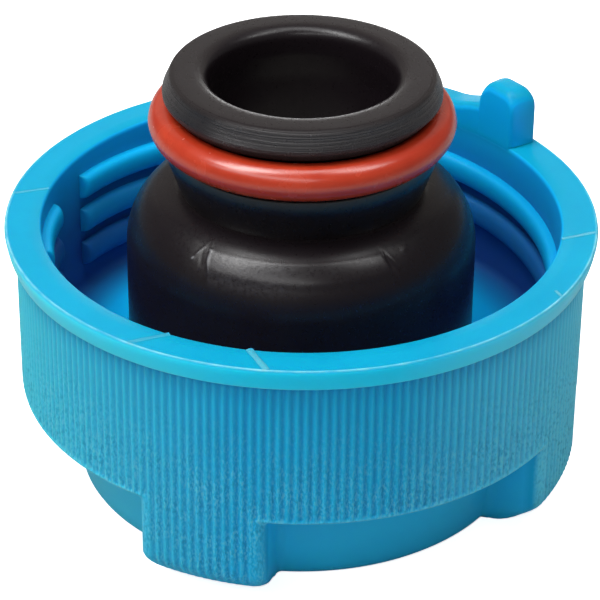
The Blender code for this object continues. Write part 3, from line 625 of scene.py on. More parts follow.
def build_shell_inside(shape, degrees, rim_ring, crown_ring):
    """Hollow of the skirt, the well under its floor, and both faces of the crown."""
    # Radius, height and tone, from the rim down the hollow and the well to the crown's inner face:
    # painted shade that deepens down the hollow's wall, lies on the shelf beside the wall and fills
    # the well
    profile = [
        (SKIRT_BORE + 0.16 * MM, CROWN_TO_RIM - 0.10 * MM, 0.0),
        (SKIRT_BORE + 0.05 * MM, CROWN_TO_RIM - 0.28 * MM, -0.1),
        (SKIRT_BORE, CROWN_TO_RIM - 0.6 * MM, -0.15),
        (SKIRT_BORE, CROWN_TO_RIM - 3.0 * MM, -0.3),
        (SKIRT_BORE, CROWN_TO_RIM - 6.0 * MM, -0.64),
        (SKIRT_BORE, CROWN_TO_RIM - 9.0 * MM, -0.92),
        (SKIRT_BORE - 0.05 * MM, SHELF_TOP + 5.0 * MM, -1.0),
        (SKIRT_BORE - 0.15 * MM, SHELF_TOP + 0.9 * MM, -1.0),
        (SKIRT_BORE - 0.35 * MM, SHELF_TOP + 0.35 * MM, -0.95),
        (SKIRT_BORE - 0.75 * MM, SHELF_TOP + 0.08 * MM, -0.88),
        (SKIRT_BORE - 1.3 * MM, SHELF_TOP, -0.80),
        (SKIRT_BORE - 3.4 * MM, SHELF_TOP, -0.42),
        (SKIRT_BORE - 5.4 * MM, SHELF_TOP, -0.04),
        (SKIRT_BORE - 6.6 * MM, SHELF_TOP, 0.0),
        (WELL_LIP_RADIUS + 0.35 * MM, SHELF_TOP, 0.0),
        (WELL_LIP_RADIUS + 0.10 * MM, SHELF_TOP - 0.10 * MM, 0.0),
        (WELL_LIP_RADIUS, SHELF_TOP - 0.35 * MM, -0.2),
        (WELL_LIP_RADIUS, BAND_FOOT + 0.15 * MM, -0.2),
        (WELL_LIP_RADIUS + 0.15 * MM, BAND_FOOT, -0.2),
        (WELL_RADIUS, BAND_FOOT, -0.2),
        (WELL_RADIUS, CROWN_THICKNESS + 0.4 * MM, -0.2),
        (WELL_RADIUS - 0.4 * MM, CROWN_THICKNESS, -0.1),
        (CROWN_RINGS[1], CROWN_THICKNESS, 0.0),
        (CROWN_RINGS[2], CROWN_THICKNESS, 0.0),
    ]
    rings = [shape.ring(radius, degrees, z, wear_and_painted_light) for radius, z, wear_and_painted_light in profile]
    shape.stitch(rim_ring, rings[0])
    shape.bridge_all(rings)
    shape.faces.append(rings[-1].tolist())
    under = [shape.ring(radius, degrees, 0.0) for radius in CROWN_RINGS]
    shape.stitch(crown_ring, under[0])
    shape.bridge_all(under)
    shape.faces.append(under[-1].tolist())


def thread_runs():
    """Where a start of the thread begins, and both ends of each of its runs between two gaps."""
    height = CROWN_TO_RIM - THREAD_TOP_DROP - SHELF_TOP - THREAD_FLOOR_SPACE - THREAD_CREST
    turn = 360 * height / THREAD_LEAD
    second = THREAD_START + 180 - THREAD_SECOND_LATE
    for first, shift in ((THREAD_START, 0.0), (second, THREAD_SECOND_LATE)):
        last = first + shift - turn
        edge = LOBE_CENTRE + LOBE_SECTOR * math.ceil((first - LOBE_CENTRE) / LOBE_SECTOR)
        while edge > last:
            begin = min(first, edge - THREAD_GAP / 2)
            end = max(last, edge - LOBE_SECTOR + THREAD_GAP / 2)
            edge -= LOBE_SECTOR
            if begin - end >= THREAD_SHORTEST_RUN:
                yield first + shift, begin, end


def run_stops(begin, end):
    """Angles along a run, closer together where it tapers, with the share of its depth."""
    into, taper = zip(*THREAD_TAPER)
    pieces = math.ceil((begin - end) / THREAD_STEP)
    stops = [begin - step for step in into]
    stops += list(np.linspace(begin - THREAD_TAPER_SPACE, end + THREAD_TAPER_SPACE, pieces))
    stops += [end + step for step in reversed(into)]
    return zip(stops, [*taper, *[1.0] * pieces, *reversed(taper)])


def on_left_run(degrees):
    """Whether an angle is on the short run that shows at the left."""
    low, high = THREAD_LEFT_RUN
    return low < signed_turn(degrees) < high


def thread_settle(degrees, travel):
    """Small rise or fall of each run of thread between two gaps."""
    turned = signed_turn(degrees)
    deeper = 0.25 * MM * travel / 360
    if on_left_run(degrees):
        return -0.9 * MM
    if turned < THREAD_LEFT_RUN[0] or turned > THREAD_BACK_FROM:
        return -0.45 * MM - deeper
    if turned > THREAD_BACK_RIGHT_FROM:
        return 0.4 * MM - deeper
    return 0.0


def thread_shade(degrees, top):
    """How far the ridge takes the painted shade of the wall's lower part."""
    if on_left_run(degrees) and top < 26.0 * MM:
        return -0.9
    return -0.82 * float(smooth_step(26.5 * MM, 20.5 * MM, top))


def thread_section(degrees, top, share):
    """Outline of the ridge at one angle; share shrinks it towards the wall at its ends."""
    middle = top - THREAD_CREST / 2
    half = THREAD_CREST / 2 + THREAD_FLANK * THREAD_FLANK_REACH
    section = []
    for k in range(THREAD_SECTION_STEPS + 1):
        angle = math.pi * (k / THREAD_SECTION_STEPS - 0.5)
        reach = THREAD_DEPTH * share * math.cos(angle) ** THREAD_FULLNESS
        radius = SKIRT_BORE - THREAD_GAP_AT_WALL - reach
        section.append(polar(radius, degrees, middle - half * math.sin(angle)))
    section.append(polar(SKIRT_BORE + THREAD_SINK, degrees, middle - half))
    section.append(polar(SKIRT_BORE + THREAD_SINK, degrees, middle + half))
    return section


def build_thread(shape):
    """Right-hand two-start thread, interrupted over each lobe."""
    for start, begin, end in thread_runs():
        levels, tones = [], []
        for degrees, share in run_stops(begin, end):
            travel = start - degrees
            top = CROWN_TO_RIM - THREAD_TOP_DROP - THREAD_LEAD * travel / 360
            top += thread_settle(degrees, travel)
            levels.append(thread_section(degrees, top, share))
            tones.append(thread_shade(degrees, top))
        shape.solid(levels, tones)


def build_witness_lines(shape):
    """Low ridges that the mould left across the rim, beside the lobes."""
    for r0, from_deg, r1, to_deg, width, height, wear_and_painted_light in WITNESS_LINES:
        near = np.array(polar(r0, from_deg, CROWN_TO_RIM))
        far = np.array(polar(r1, to_deg, CROWN_TO_RIM))
        along = (far - near) / np.linalg.norm(far - near)
        across = np.array((-along[1], along[0], 0)) * width * MM
        up = np.array((0, 0, 1)) * height * MM
        levels = []
        for share in np.linspace(0, 1, 9):
            spot = near + (far - near) * share
            rise = up * (0.75 + 0.25 * math.sin(9 * share + r0 * 900))
            level = []
            for k in range(7):
                side = -1 + k / 3
                level.append(spot + across * side + rise * (1 - side * side) - up * WITNESS_SINK)
            levels.append(level)
        shape.solid(levels, wear_and_painted_light)


def tab_height(degrees):
    """Height of the tab above the rim at one angle: a round-cornered post and a lower wall."""
    corner = math.degrees(TAB_CORNER / RIM_RADIUS)
    wall = TAB_WALL * (1 - smooth_step(TAB_WALL_END, TAB_RAMP_END, degrees))
    rise_end = TAB_POST_END + TAB_WALL_RISE_REACH
    wall += TAB_WALL_RISE * (1 - smooth_step(TAB_POST_END, rise_end, degrees))
    wall = wall if degrees > TAB_POST_END - 1 else 0
    to_edge = min(degrees - TAB_START, TAB_POST_END - degrees)
    if to_edge < 0:
        return wall
    into = min(to_edge / corner, 1)
    post = TAB_POST - TAB_CORNER * (1 - math.sqrt(1 - (1 - into) ** 2))
    return wall + (post - wall) * smooth_step(0, TAB_POST_LEAN, to_edge)


def tab_stops():
    """Angles of the tab's sections, closer together at its corners."""
    return np.concatenate([
        TAB_START - 0.02 + np.array([0.0, 0.06, 0.14, 0.24, 0.36]),
        np.linspace(TAB_START + 0.5, TAB_START + 3.2, 12),
        np.linspace(TAB_START + 3.7, TAB_POST_END - 3.7, 8),
        np.linspace(TAB_POST_END - 3.2, TAB_POST_END - 0.5, 12),
        TAB_POST_END + np.array([-0.36, -0.24, -0.12, 0.0, 0.15, 0.5]),
        np.linspace(TAB_POST_END + 1.2, TAB_WALL_END - 0.5, 12),
        np.linspace(TAB_WALL_END, TAB_RAMP_END, 10),
    ])


def tab_section(degrees):
    """Outline of the tab across the rim at one angle, with rounded upper edges."""
    top = CROWN_TO_RIM + tab_height(degrees)
    sunk = CROWN_TO_RIM - TAB_SINK
    from_start = min(max(degrees - TAB_START, 0) * RIM_RADIUS * math.pi / 180, TAB_END_ROUND)
    tuck = TAB_END_ROUND - math.sqrt(TAB_END_ROUND**2 - (TAB_END_ROUND - from_start) ** 2)
    soft = TAB_POST_EDGE if degrees < TAB_POST_END else TAB_WALL_EDGE
    low = SKIRT_BORE + TAB_INNER_INSET + tuck
    high = RIM_RADIUS - TAB_OUTER_INSET - tuck
    reach = max(top - soft, sunk + 0.02 * MM)
    turns = [math.pi / 2 * k / TAB_EDGE_STEPS for k in range(TAB_EDGE_STEPS + 1)]
    section = [polar(low, degrees, sunk)]
    for edge, side, steps in ((low, 1, turns), (high, -1, turns[::-1])):
        for turn in steps:
            radius = edge + side * soft * (1 - math.cos(turn))
            section.append(polar(radius, degrees, reach + (top - reach) * math.sin(turn)))
    section.append(polar(high, degrees, sunk))
    return section


def make_cap_shell(look):
    columns = RIB_COUNT * RIB_COLUMNS
    fine = np.arange(columns) * 360 / columns
    shape = Shape()
    rim_ring, crown_ring = build_shell_outside(shape, fine)
    build_shell_inside(shape, fine[::HOLLOW_COARSER], rim_ring, crown_ring)
    build_thread(shape)
    build_witness_lines(shape)
    shape.solid([tab_section(degrees) for degrees in tab_stops()])
    mesh = shape.mesh("cap_shell_looks", look)
    new_object("cap_shell_looks", mesh, "cap", "blue_plastic", "cap_shell")
    mesh.set_sharp_from_angle(angle=math.radians(SHELL_SHARP_ANGLE))


def bezier(first, second, third, fourth, steps):
    points = []
    for i in range(steps + 1):
        t = i / steps
        weights = ((1 - t) ** 3, 3 * t * (1 - t) ** 2, 3 * t * t * (1 - t), t**3)
        corners = (first, second, third, fourth)
        points.append(tuple(sum(w * c[k] for w, c in zip(weights, corners)) for k in (0, 1)))
    return points


def rounded(corners, steps=4):
    """Open outline through (radius, z, rounding) corners, each one rounded by an arc-like curve."""
    points = []
    last = len(corners) - 1
    for i, (x, z, soft) in enumerate(corners):
        spot = Vector((x, z))
        if soft == 0 or i in (0, last):
            points.append((x, z))
            continue
        before = Vector(corners[i - 1][:2]) - spot
        after = Vector(corners[i + 1][:2]) - spot
        start = spot + before.normalized() * min(soft, before.length * 0.49)
        end = spot + after.normalized() * min(soft, after.length * 0.49)
        for k in range(steps + 1):
            t = k / steps
            place = start * (1 - t) ** 2 + spot * 2 * t * (1 - t) + end * t * t
            points.append((place.x, place.y))
    return points


def split_long(points, longest):
    """Add points on long straight stretches, so that surface detail has vertices to move."""
    result = [points[0]]
    for (x0, z0), (x1, z1) in zip(points, points[1:]):
        pieces = max(1, math.ceil(math.hypot(x1 - x0, z1 - z0) / longest))
        for k in range(1, pieces + 1):
            result.append((x0 + (x1 - x0) * k / pieces, z0 + (z1 - z0) * k / pieces))
    return result


def shoulder_marks(degrees, z):
    """Lift and tone of the pads and scars that the mould left on the bell's shoulder: scuff with
    painted highlight on the pads, painted highlight and painted shade on the scars, and painted
    shade on the shoulder's sides and the waist.
    """
    lift = np.zeros_like(degrees)
    scuff_and_highlight = np.zeros_like(degrees)
    rubbed = np.zeros_like(degrees)
    under_top = 1 - smooth_step(*PAD_TOP, z)
    for middle in PAD_MIDDLES:
        turned = signed_turn(degrees - middle)
        leaning = turned + PAD_LEFT_LEAN * (z / MM - PAD_MIDDLE_Z)
        across = smooth_step(*PAD_LEFT, leaning) * (1 - smooth_step(*PAD_RIGHT, turned))
        lift += PAD_LIFT * across * smooth_step(*PAD_LIFT_FROM, z) * under_top
        # The pad's scuff is painted stronger on its left half, where the highlight falls: painted
        # highlight as well as scuff
        left_half = 1 - smooth_step(*PAD_HIGHLIGHT_FADE, turned)
        share = PAD_RIGHT_SCUFF_AND_HIGHLIGHT + (1 - PAD_RIGHT_SCUFF_AND_HIGHLIGHT) * left_half
        scuff_and_highlight += across * smooth_step(*PAD_SCUFF_AND_HIGHLIGHT_FROM, z) * under_top * share
        rubbed += smooth_step(*UNSHADED_FROM, turned) * (1 - smooth_step(*UNSHADED_TO, turned))
    for middle, height, width, reach, lean, rise, wear_and_painted_light in SCARS:
        up = z / MM - height
        away = signed_turn(degrees - middle - lean * up) / width
        mark = np.exp(-(away**2) - (up / reach) ** 2)
        lift += rise * MM * mark
        scuff_and_highlight += mark * wear_and_painted_light
    # Painted shade dulls the shoulder's sides and the waist; the stretch from the left to the front,
    # where the highlight falls, is kept free of it
    dull_shade = SHOULDER_SHADE * (1 - rubbed) * float(smooth_step(*SHOULDER_SHADE_FROM, z))
    dull_shade = np.maximum(dull_shade, WAIST_SHADE * float(smooth_step(*WAIST_SHADE_FROM, z)))
    return lift, np.maximum(scuff_and_highlight, 0) - dull_shade


def housing_detail(degrees, radius, z):
    """Lift off the housing's plain outline, and tone, of one ring: painted shade on the neck's end
    and in the bore, and the shoulder's marks.
    """
    if z > NECK_END - 0.05 * MM:
        return 0, NECK_END_SHADE
    if radius < BORE_SIDE:
        down = float(smooth_step(BORE_DARK_FROM, BORE_DARK_TO, z))
        return 0, NECK_END_SHADE + (BORE_SHADE - NECK_END_SHADE) * down
    if radius + z > SHOULDER_OUTSIDE and BELL_TOP < z < WAIST_Z:
        return shoulder_marks(degrees, z)
    return 0, 0


def housing_columns():
    """Angles of the housing's columns, closer together where the shoulder has its small marks."""
    angles = [-180.0]
    while angles[-1] < 180.0:
        marked = any(low <= angles[-1] < high for low, high in MARKED_STRETCHES)
        angles.append(angles[-1] + (MARKED_STEP if marked else PLAIN_STEP))
    return np.array(angles[:-1])


def housing_outline():
    """Closed section of the housing: up its outside, over the neck's end and down its inside."""
    outline = rounded([
        (FOOT_BORE_RADIUS, FOOT_Z, 0),
        (BELL_RADIUS, FOOT_Z, 0.3 * MM),
        (BELL_RADIUS, SNAP_CHAMFER_Z, 0.3 * MM),
        (SNAP_FLANGE_RADIUS, SNAP_FLANGE_Z, 0.3 * MM),
        (SNAP_FLANGE_RADIUS, SNAP_FLANGE_TOP, 0.2 * MM),
        (BELL_RADIUS, SNAP_FLANGE_TOP, 0.1 * MM),
        (BELL_RADIUS, BELL_TOP, 0),
    ])
    shoulder = bezier(
        (BELL_RADIUS, BELL_TOP),
        (BELL_RADIUS, BELL_TOP + SHOULDER_FULLNESS),
        (WAIST_RADIUS + SHOULDER_REACH, WAIST_Z - SHOULDER_RISE),
        (WAIST_RADIUS + WAIST_ROUND, WAIST_Z),
        SHOULDER_STEPS,
    )
    outline += shoulder[1:]
    outline += rounded([
        (WAIST_RADIUS + WAIST_ROUND, WAIST_Z, 0),
        (WAIST_RADIUS, WAIST_Z + 0.05 * MM, 0),
        (COLLAR_RADIUS, COLLAR_Z, 0.6 * MM),
        (COLLAR_RADIUS, GROOVE_Z, 0.25 * MM),
        (GROOVE_RADIUS, GROOVE_Z, 0.15 * MM),
        (GROOVE_RADIUS, GROOVE_TOP, 0.15 * MM),
        (FLANGE_RADIUS - 0.85 * MM, GROOVE_TOP, 0.15 * MM),
        (FLANGE_RADIUS - 0.60 * MM, GROOVE_TOP + 0.80 * MM, 0.12 * MM),
        (FLANGE_RADIUS - 0.04 * MM, GROOVE_TOP + 0.98 * MM, 0.10 * MM),
        (FLANGE_RADIUS, GROOVE_TOP + 1.5 * MM, 0.35 * MM),
        (FLANGE_RADIUS - 0.9 * MM, NECK_END, 0.45 * MM),
        (MOUTH_RADIUS, NECK_END, MOUTH_ROUND),
        (MOUTH_RADIUS, NECK_END - MOUTH_DEPTH, 0.3 * MM),
        (BORE_RADIUS, NECK_END - BORE_FROM_END, 0),
        (BORE_RADIUS, SEAT_Z, 0.3 * MM),
        (SEAT_RADIUS, SEAT_Z, 0.2 * MM),
        (SEAT_RADIUS, CEILING_Z, 0.2 * MM),
        (CEILING_RADIUS, CEILING_Z, 0.8 * MM),
        (CHAMBER_RADIUS, CHAMBER_TOP, 1.0 * MM),
        (CHAMBER_RADIUS, COVER_POCKET_TOP, 0),
        (COVER_POCKET_RADIUS, COVER_POCKET_TOP, 0),
        (COVER_POCKET_RADIUS, COVER_POCKET_Z, 0),
        (FOOT_BORE_RADIUS, COVER_POCKET_Z, 0),
    ], 7)
    return split_long(outline, HOUSING_LONGEST)


def make_valve_housing(look):
    degrees = housing_columns()
    shape = Shape()
    rings = []
    for radius, z in housing_outline():
        lift, wear_and_painted_light = housing_detail(degrees, radius, z)
        rings.append(shape.ring(radius + lift, degrees, z, wear_and_painted_light))
    shape.bridge_all(rings + rings[:1])
    mesh = shape.mesh("valve_housing_looks", look)
    new_object("valve_housing_looks", mesh, "valve_insert", "black_plastic", "valve_housing")
    mesh.set_sharp_from_angle(angle=math.radians(HOUSING_SHARP_ANGLE))


def make_o_ring(look):
    """O-ring with a fine line of flash round its outside and its inside."""
    degrees = np.arange(O_RING_COLUMNS) * 360 / O_RING_COLUMNS
    shape = Shape()
    rings = []
    for k in range(O_RING_STEPS):
        turn = 2 * math.pi * k / O_RING_STEPS
        flash = FLASH_HEIGHT * math.exp(-((math.sin(turn) / FLASH_WIDTH) ** 2))
        radius = O_RING_MAJOR + (O_RING_SECTION + flash) * math.cos(turn)
        z = O_RING_Z + (O_RING_SECTION + O_RING_TALLER) * math.sin(turn)
        rings.append(shape.ring(radius, degrees, z))
    shape.bridge_all(rings + rings[:1])
    mesh = shape.mesh("neck_o_ring_looks", look)
    new_object("neck_o_ring_looks", mesh, "valve_insert", "red_rubber", "neck_o_ring")


def coil_levels(radius, wire, low, high, coils):
    """Wire sections of a compression spring with closed ends, from its foot to its top."""
    closed_pitch = SPRING_CLOSED_PITCH * wire
    free_turns = coils - 2 * SPRING_END_TURNS
    rise = high - low - 2 * wire - 2 * SPRING_END_TURNS * closed_pitch
    steps = math.ceil(coils * SPRING_TURN_STEPS)
    levels = []
    for i in range(steps + 1):
        turn = coils * i / steps
        into_free = turn - SPRING_END_TURNS
        closed = min(turn, SPRING_END_TURNS) + max(into_free - free_turns, 0)
        middle = min(max(into_free, 0), free_turns)
        z = low + wire + closed_pitch * closed + rise * middle / free_turns
        section = []
        for k in range(SPRING_WIRE_STEPS):
            angle = 2 * math.pi * k / SPRING_WIRE_STEPS
            out, up = wire * math.cos(angle), wire * math.sin(angle)
            section.append(polar(radius + out, 360 * turn, z + up))
        levels.append(section)
    return levels


def make_springs(steel):
    """Springs, each a coil of wire attached to its valve's body."""
    for name, body, joint, wire, coils, keep, anchor_top in SPRINGS:
        low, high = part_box(name)
        radius = (high.x - low.x) / 2 - wire
        shape = Shape()
        shape.solid(coil_levels(radius, wire, low.z, high.z, coils))
        mesh = shape.mesh(name + "_looks", steel)
        item = new_object(name + "_looks", mesh, body, "spring_steel", name)
        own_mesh(item)


class Nodes:
    """Short hand for building a material's node tree."""

    def __init__(self, name):
        self.material = bpy.data.materials.new(name)
        self.material.use_nodes = True
        self.tree = self.material.node_tree
        self.shader = self.tree.nodes["Principled BSDF"]

    def add(self, kind, **settings):
        node = self.tree.nodes.new(kind)
        for key, value in settings.items():
            setattr(node, key, value)
        return node

    def feed(self, value, socket):
        """Link an output to a socket, or set the socket to a constant."""
        if isinstance(value, bpy.types.NodeSocket):
            self.tree.links.new(value, socket)
        else:
            socket.default_value = value

    def surface(self, **values):
        """Feed the shader's sockets; an underscore in a name stands for a space."""
        for name, value in values.items():
            self.feed(value, self.shader.inputs[name.replace("_", " ")])

    def noise(self, scale, detail, roughness, vector):
        node = self.add("ShaderNodeTexNoise")
        node.inputs["Scale"].default_value = scale
        node.inputs["Detail"].default_value = detail
        node.inputs["Roughness"].default_value = roughness
        self.feed(vector, node.inputs["Vector"])
        return node.outputs["Fac"]

    def math(self, operation, first, second, clamp=False):
        node = self.add("ShaderNodeMath", operation=operation, use_clamp=clamp)
        self.feed(first, node.inputs[0])
        self.feed(second, node.inputs[1])
        return node.outputs[0]

    def times(self, first, second, clamp=False):
        return self.math("MULTIPLY", first, second, clamp)

    def span(self, value, from_low, from_high, to_low=0.0, to_high=1.0):
        """Map a value from one range to another, without leaving the second."""
        node = self.add("ShaderNodeMapRange")
        node.inputs["From Min"].default_value = from_low
        node.inputs["From Max"].default_value = from_high
        node.inputs["To Min"].default_value = to_low
        node.inputs["To Max"].default_value = to_high
        self.feed(value, node.inputs["Value"])
        return node.outputs["Result"]

    def mix(self, share, first, second):
        node = self.add("ShaderNodeMix", data_type="RGBA")
        for name, value in (("Factor_Float", share), ("A_Color", first), ("B_Color", second)):
            self.feed(value, next(s for s in node.inputs if s.identifier == name))
        return next(s for s in node.outputs if s.identifier == "Result_Color")

    def bump(self, height, strength, distance, normal=None):
        node = self.add("ShaderNodeBump")
        node.inputs["Strength"].default_value = strength
        node.inputs["Distance"].default_value = distance
        self.feed(height, node.inputs["Height"])
        if normal is not None:
            self.feed(normal, node.inputs["Normal"])
        return node.outputs["Normal"]

    def place(self):
        """Position in the object's own space, in metres, and its separate parts."""
        coordinates = self.add("ShaderNodeTexCoord").outputs["Object"]
        parts = self.add("ShaderNodeSeparateXYZ")
        self.feed(coordinates, parts.inputs[0])
        return coordinates, parts.outputs

    def from_axis(self, xyz):
        """Distance from the cap's axis."""
        squares = [self.math("POWER", xyz[name], 2.0) for name in ("X", "Y")]
        return self.math("POWER", self.math("ADD", *squares), 0.5)

    def wear_and_painted_light(self):
        """The mesh's own value: above 0 paler, from rubbing, scuffs and painted highlights; below 0
        darker, from painted shade.
        """
        return self.add("ShaderNodeAttribute", attribute_name="wear_and_painted_light").outputs["Fac"]


def blue_zones(n, xyz, radius, cloud):
    """Tones of the blue shell: the plain blue of the rim and the hollow, and painted light on the
    outside, where the skirt, recesses and lip are painted lighter and both sides paler.
    """
    height = xyz["Z"]
    mottle = n.span(cloud, 0.35, 0.65)
    below_rim = n.span(height, *BELOW_RIM)
    skirt = n.math("MAXIMUM", n.span(radius, *SKIRT_OUTSIDE), n.span(height, *UNDER_SHELF))
    skirt = n.times(skirt, below_rim)
    # The outside of the skirt takes its painted lighter blues
    base = n.mix(skirt, n.mix(mottle, *HOLLOW_BLUES), n.mix(mottle, *SKIRT_LIT_BLUES))
    # Painted light: the recesses' back walls are painted lighter
    recess = n.times(n.span(radius, *RECESS_INSIDE), n.span(height, *RECESS_BELOW))
    base = n.mix(n.times(recess, below_rim), base, RECESS_LIT_BLUE)
    # Painted light: the lip's side is painted lighter
    lip = n.times(n.span(radius, *LIP_OUTSIDE), n.span(height, *LIP_ABOVE))
    base = n.mix(n.times(lip, below_rim), base, LIP_LIT_BLUE)
    # Painted sheen: the right and left sides are painted paler
    right = n.times(n.span(xyz["X"], *TOWARDS_RIGHT, 0.0, 0.56), n.span(radius, *RIB_FACE))
    base = n.mix(n.times(right, skirt), base, RIGHT_SHEEN_BLUE)
    left = n.span(xyz["X"], *TOWARDS_LEFT, 0.0, 0.46)
    return n.mix(n.times(left, skirt), base, LEFT_SHEEN_BLUE)


def inner_sides(n, height, radius):
    """Where the hollow's inside and the tab's upright sides are, which are painted a brighter,
    deeper blue for light passing through the thin plastic.
    """
    hollow = n.times(n.span(radius, *HOLLOW_INSIDE), n.span(height, *HOLLOW_ABOVE))
    facing = n.add("ShaderNodeSeparateXYZ")
    n.feed(n.add("ShaderNodeNewGeometry").outputs["Normal"], facing.inputs[0])
    upright = n.span(facing.outputs["Z"], *TAB_UPRIGHT)
    tab = n.times(n.span(height, *TAB_ABOVE), upright)
    tab = n.times(n.span(radius, *TAB_INWARD, 0.3, 1.0), tab)
    return n.math("MAXIMUM", hollow, tab)


def blue_plastic():
    n = Nodes("blue_plastic_looks")
    where, xyz = n.place()
    height = xyz["Z"]
    radius = n.from_axis(xyz)
    wear_and_painted_light = n.wear_and_painted_light()
    cloud = n.noise(110, 4, 0.6, where)
    grain = n.noise(5200, 2, 0.6, where)
    patch = n.noise(320, 4, 0.65, where)
    drawn = n.add("ShaderNodeMapping")
    drawn.inputs["Scale"].default_value = (1.0, 1.0, 0.45)
    n.feed(where, drawn.inputs["Vector"])
    streak = n.noise(4400, 1, 0.4, drawn.outputs[0])

    base = blue_zones(n, xyz, radius, cloud)
    # Painted light through the thin plastic on the hollow's inside and the tab's upright sides
    base = n.mix(inner_sides(n, height, radius), base, INNER_SIDE_LIT_BLUE)
    # Painted shade from values below 0
    base = n.mix(n.times(wear_and_painted_light, -1.0, clamp=True), base, DEEP_SHADE_BLUE)
    # Rubbing and painted highlight from values above 0
    rubbed = n.times(wear_and_painted_light, n.span(patch, 0.25, 0.6, 0.35, 1.0), clamp=True)
    base = n.mix(n.times(rubbed, 0.75), base, RUBBED_AND_HIGHLIGHT_BLUE)

    outside = n.times(n.span(radius, *RIBS_OUTSIDE), n.span(height, *RIBS_BELOW))
    # Painted shade on the ribs just under the lip
    under_lip_shade = n.times(n.span(height, *LIP_SHADOW, 0.0, 0.35), outside)
    base = n.mix(under_lip_shade, base, UNDER_LIP_SHADE_BLUE)
    dusty = n.times(n.span(height, *DUST_FALL), outside)
    thick = n.times(n.span(patch, 0.38, 0.58, 0.35, 1.0), dusty)
    pale = n.times(n.span(streak, 0.48, 0.70), thick)
    base = n.mix(n.times(pale, 0.50), base, PALE_DUST)
    dark = n.times(n.span(streak, 0.50, 0.32), thick)
    base = n.mix(n.times(dark, 0.50), base, DARK_DUST)

    dust_relief = n.times(n.times(streak, dusty), 0.25)
    relief = n.math("ADD", n.times(grain, 0.35), dust_relief)
    n.surface(
        Base_Color=base,
        Roughness=n.math("ADD", n.span(cloud, 0.3, 0.7, 0.36, 0.44), n.times(pale, 0.3)),
        Normal=n.bump(relief, 0.35, 0.08 * MM),
        Specular_IOR_Level=0.14,
        Subsurface_Weight=0.20,
        Subsurface_Radius=(0.0002, 0.0012, 0.0035),
        Subsurface_Scale=1.0,
    )
    return n.material


def black_plastic():
    """Black plastic with scuffs, painted highlights on the pads and scars, painted shade on the
    neck's end, in the bore, on the shoulder's sides and the waist, and turned rings on the end
    flange's side.
    """
    n = Nodes("black_plastic_looks")
    where, xyz = n.place()
    wear_and_painted_light = n.wear_and_painted_light()
    grain = n.noise(2600, 3, 0.65, where)
    cloud = n.noise(150, 3, 0.55, where)
    # Scuffs, and painted highlights on the pads and scars, from values above 0
    scuff_and_highlight = n.times(wear_and_painted_light, n.span(grain, 0.38, 0.62, 0.3, 1.0), clamp=True)
    # Painted highlight on the scars, from values above 1
    scar_highlight = n.math("SUBTRACT", wear_and_painted_light, 1.0, clamp=True)
    # Painted shade from values below 0: a darker black and lowered gloss
    dull_shade = n.times(wear_and_painted_light, -1.0, clamp=True)
    base = n.mix(n.span(cloud, 0.3, 0.7), *BLACKS)
    base = n.mix(n.times(scuff_and_highlight, 0.5), base, SCUFF_AND_HIGHLIGHT_BLACK)
    base = n.mix(scar_highlight, base, SCAR_HIGHLIGHT_BLACK)
    base = n.mix(dull_shade, base, DULL_SHADE_BLACK)

    heights = n.add("ShaderNodeCombineXYZ")
    n.feed(xyz["Z"], heights.inputs["Z"])
    turned = n.noise(6000, 3, 0.8, heights.outputs[0])
    beyond = n.span(n.from_axis(xyz), *FLANGE_OUTSIDE)
    on_flange = n.times(n.span(xyz["Z"], *FLANGE_ABOVE), beyond)
    normal = n.bump(grain, 0.05, 0.06 * MM)
    normal = n.bump(n.times(n.noise(2200, 1, 0.5, where), scuff_and_highlight), 0.25, 0.05 * MM, normal)
    n.surface(
        Base_Color=base,
        Roughness=n.span(grain, 0.35, 0.65, 0.27, 0.36),
        Normal=n.bump(n.times(turned, on_flange), 1.0, 0.22 * MM, normal),
        Specular_IOR_Level=n.span(dull_shade, 0.0, 1.0, 0.45, 0.18),
    )
    return n.material


def red_rubber():
    n = Nodes("red_rubber_looks")
    where, _ = n.place()
    cloud = n.span(n.noise(260, 3, 0.6, where), 0.3, 0.7)
    specks = n.span(n.noise(1500, 1, 0.4, where), 0.785, 0.81)
    n.surface(
        Base_Color=n.mix(n.times(specks, 0.6), n.mix(cloud, *REDS), RED_SPECK),
        Roughness=n.span(cloud, 0.0, 1.0, 0.22, 0.29),
        Normal=n.bump(n.noise(3500, 2, 0.5, where), 0.05, 0.05 * MM),
        Specular_IOR_Level=0.75,
        Subsurface_Weight=0.08,
        Subsurface_Radius=(0.002, 0.0005, 0.0003),
        Subsurface_Scale=1.0,
    )
    return n.material


def plain_material(name, tones, roughness, metallic=0.0, grain_scale=2500):
    """Moulded, rubber or drawn surface of a hidden piece, with grain and some unevenness."""
    n = Nodes(name)
    where, _ = n.place()
    cloud = n.span(n.noise(300, 3, 0.6, where), 0.3, 0.7)
    n.surface(
        Base_Color=n.mix(cloud, *tones),
        Roughness=n.span(cloud, 0.0, 1.0, roughness - 0.05, roughness + 0.05),
        Metallic=metallic,
        Normal=n.bump(n.noise(grain_scale, 2, 0.6, where), 0.25, 0.05 * MM),
    )
    return n.material


def dress_hidden_pieces(black, steel):
    """Give the CAD pieces that are seen through the bore, or not at all, their materials."""
    rubber = plain_material("dark_rubber_looks", DARK_RUBBERS, 0.62)
    pale = plain_material("pale_plastic_looks", PALE_PLASTICS, 0.45)
    for look, slot, nodes in (
        (black, "black_plastic", ("housing_cover", "pressure_valve_plate")),
        (rubber, "dark_rubber", ("pressure_seal", "vacuum_seal")),
        (pale, "pale_plastic", ("thrust_washer", "vacuum_valve_stem")),
        (steel, "spring_steel", ("spring_seat", "seal_retainer", "vacuum_spring_clip")),
    ):
        for node in nodes:
            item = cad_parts[node]
            item.data.materials.clear()
            item.data.materials.append(look)


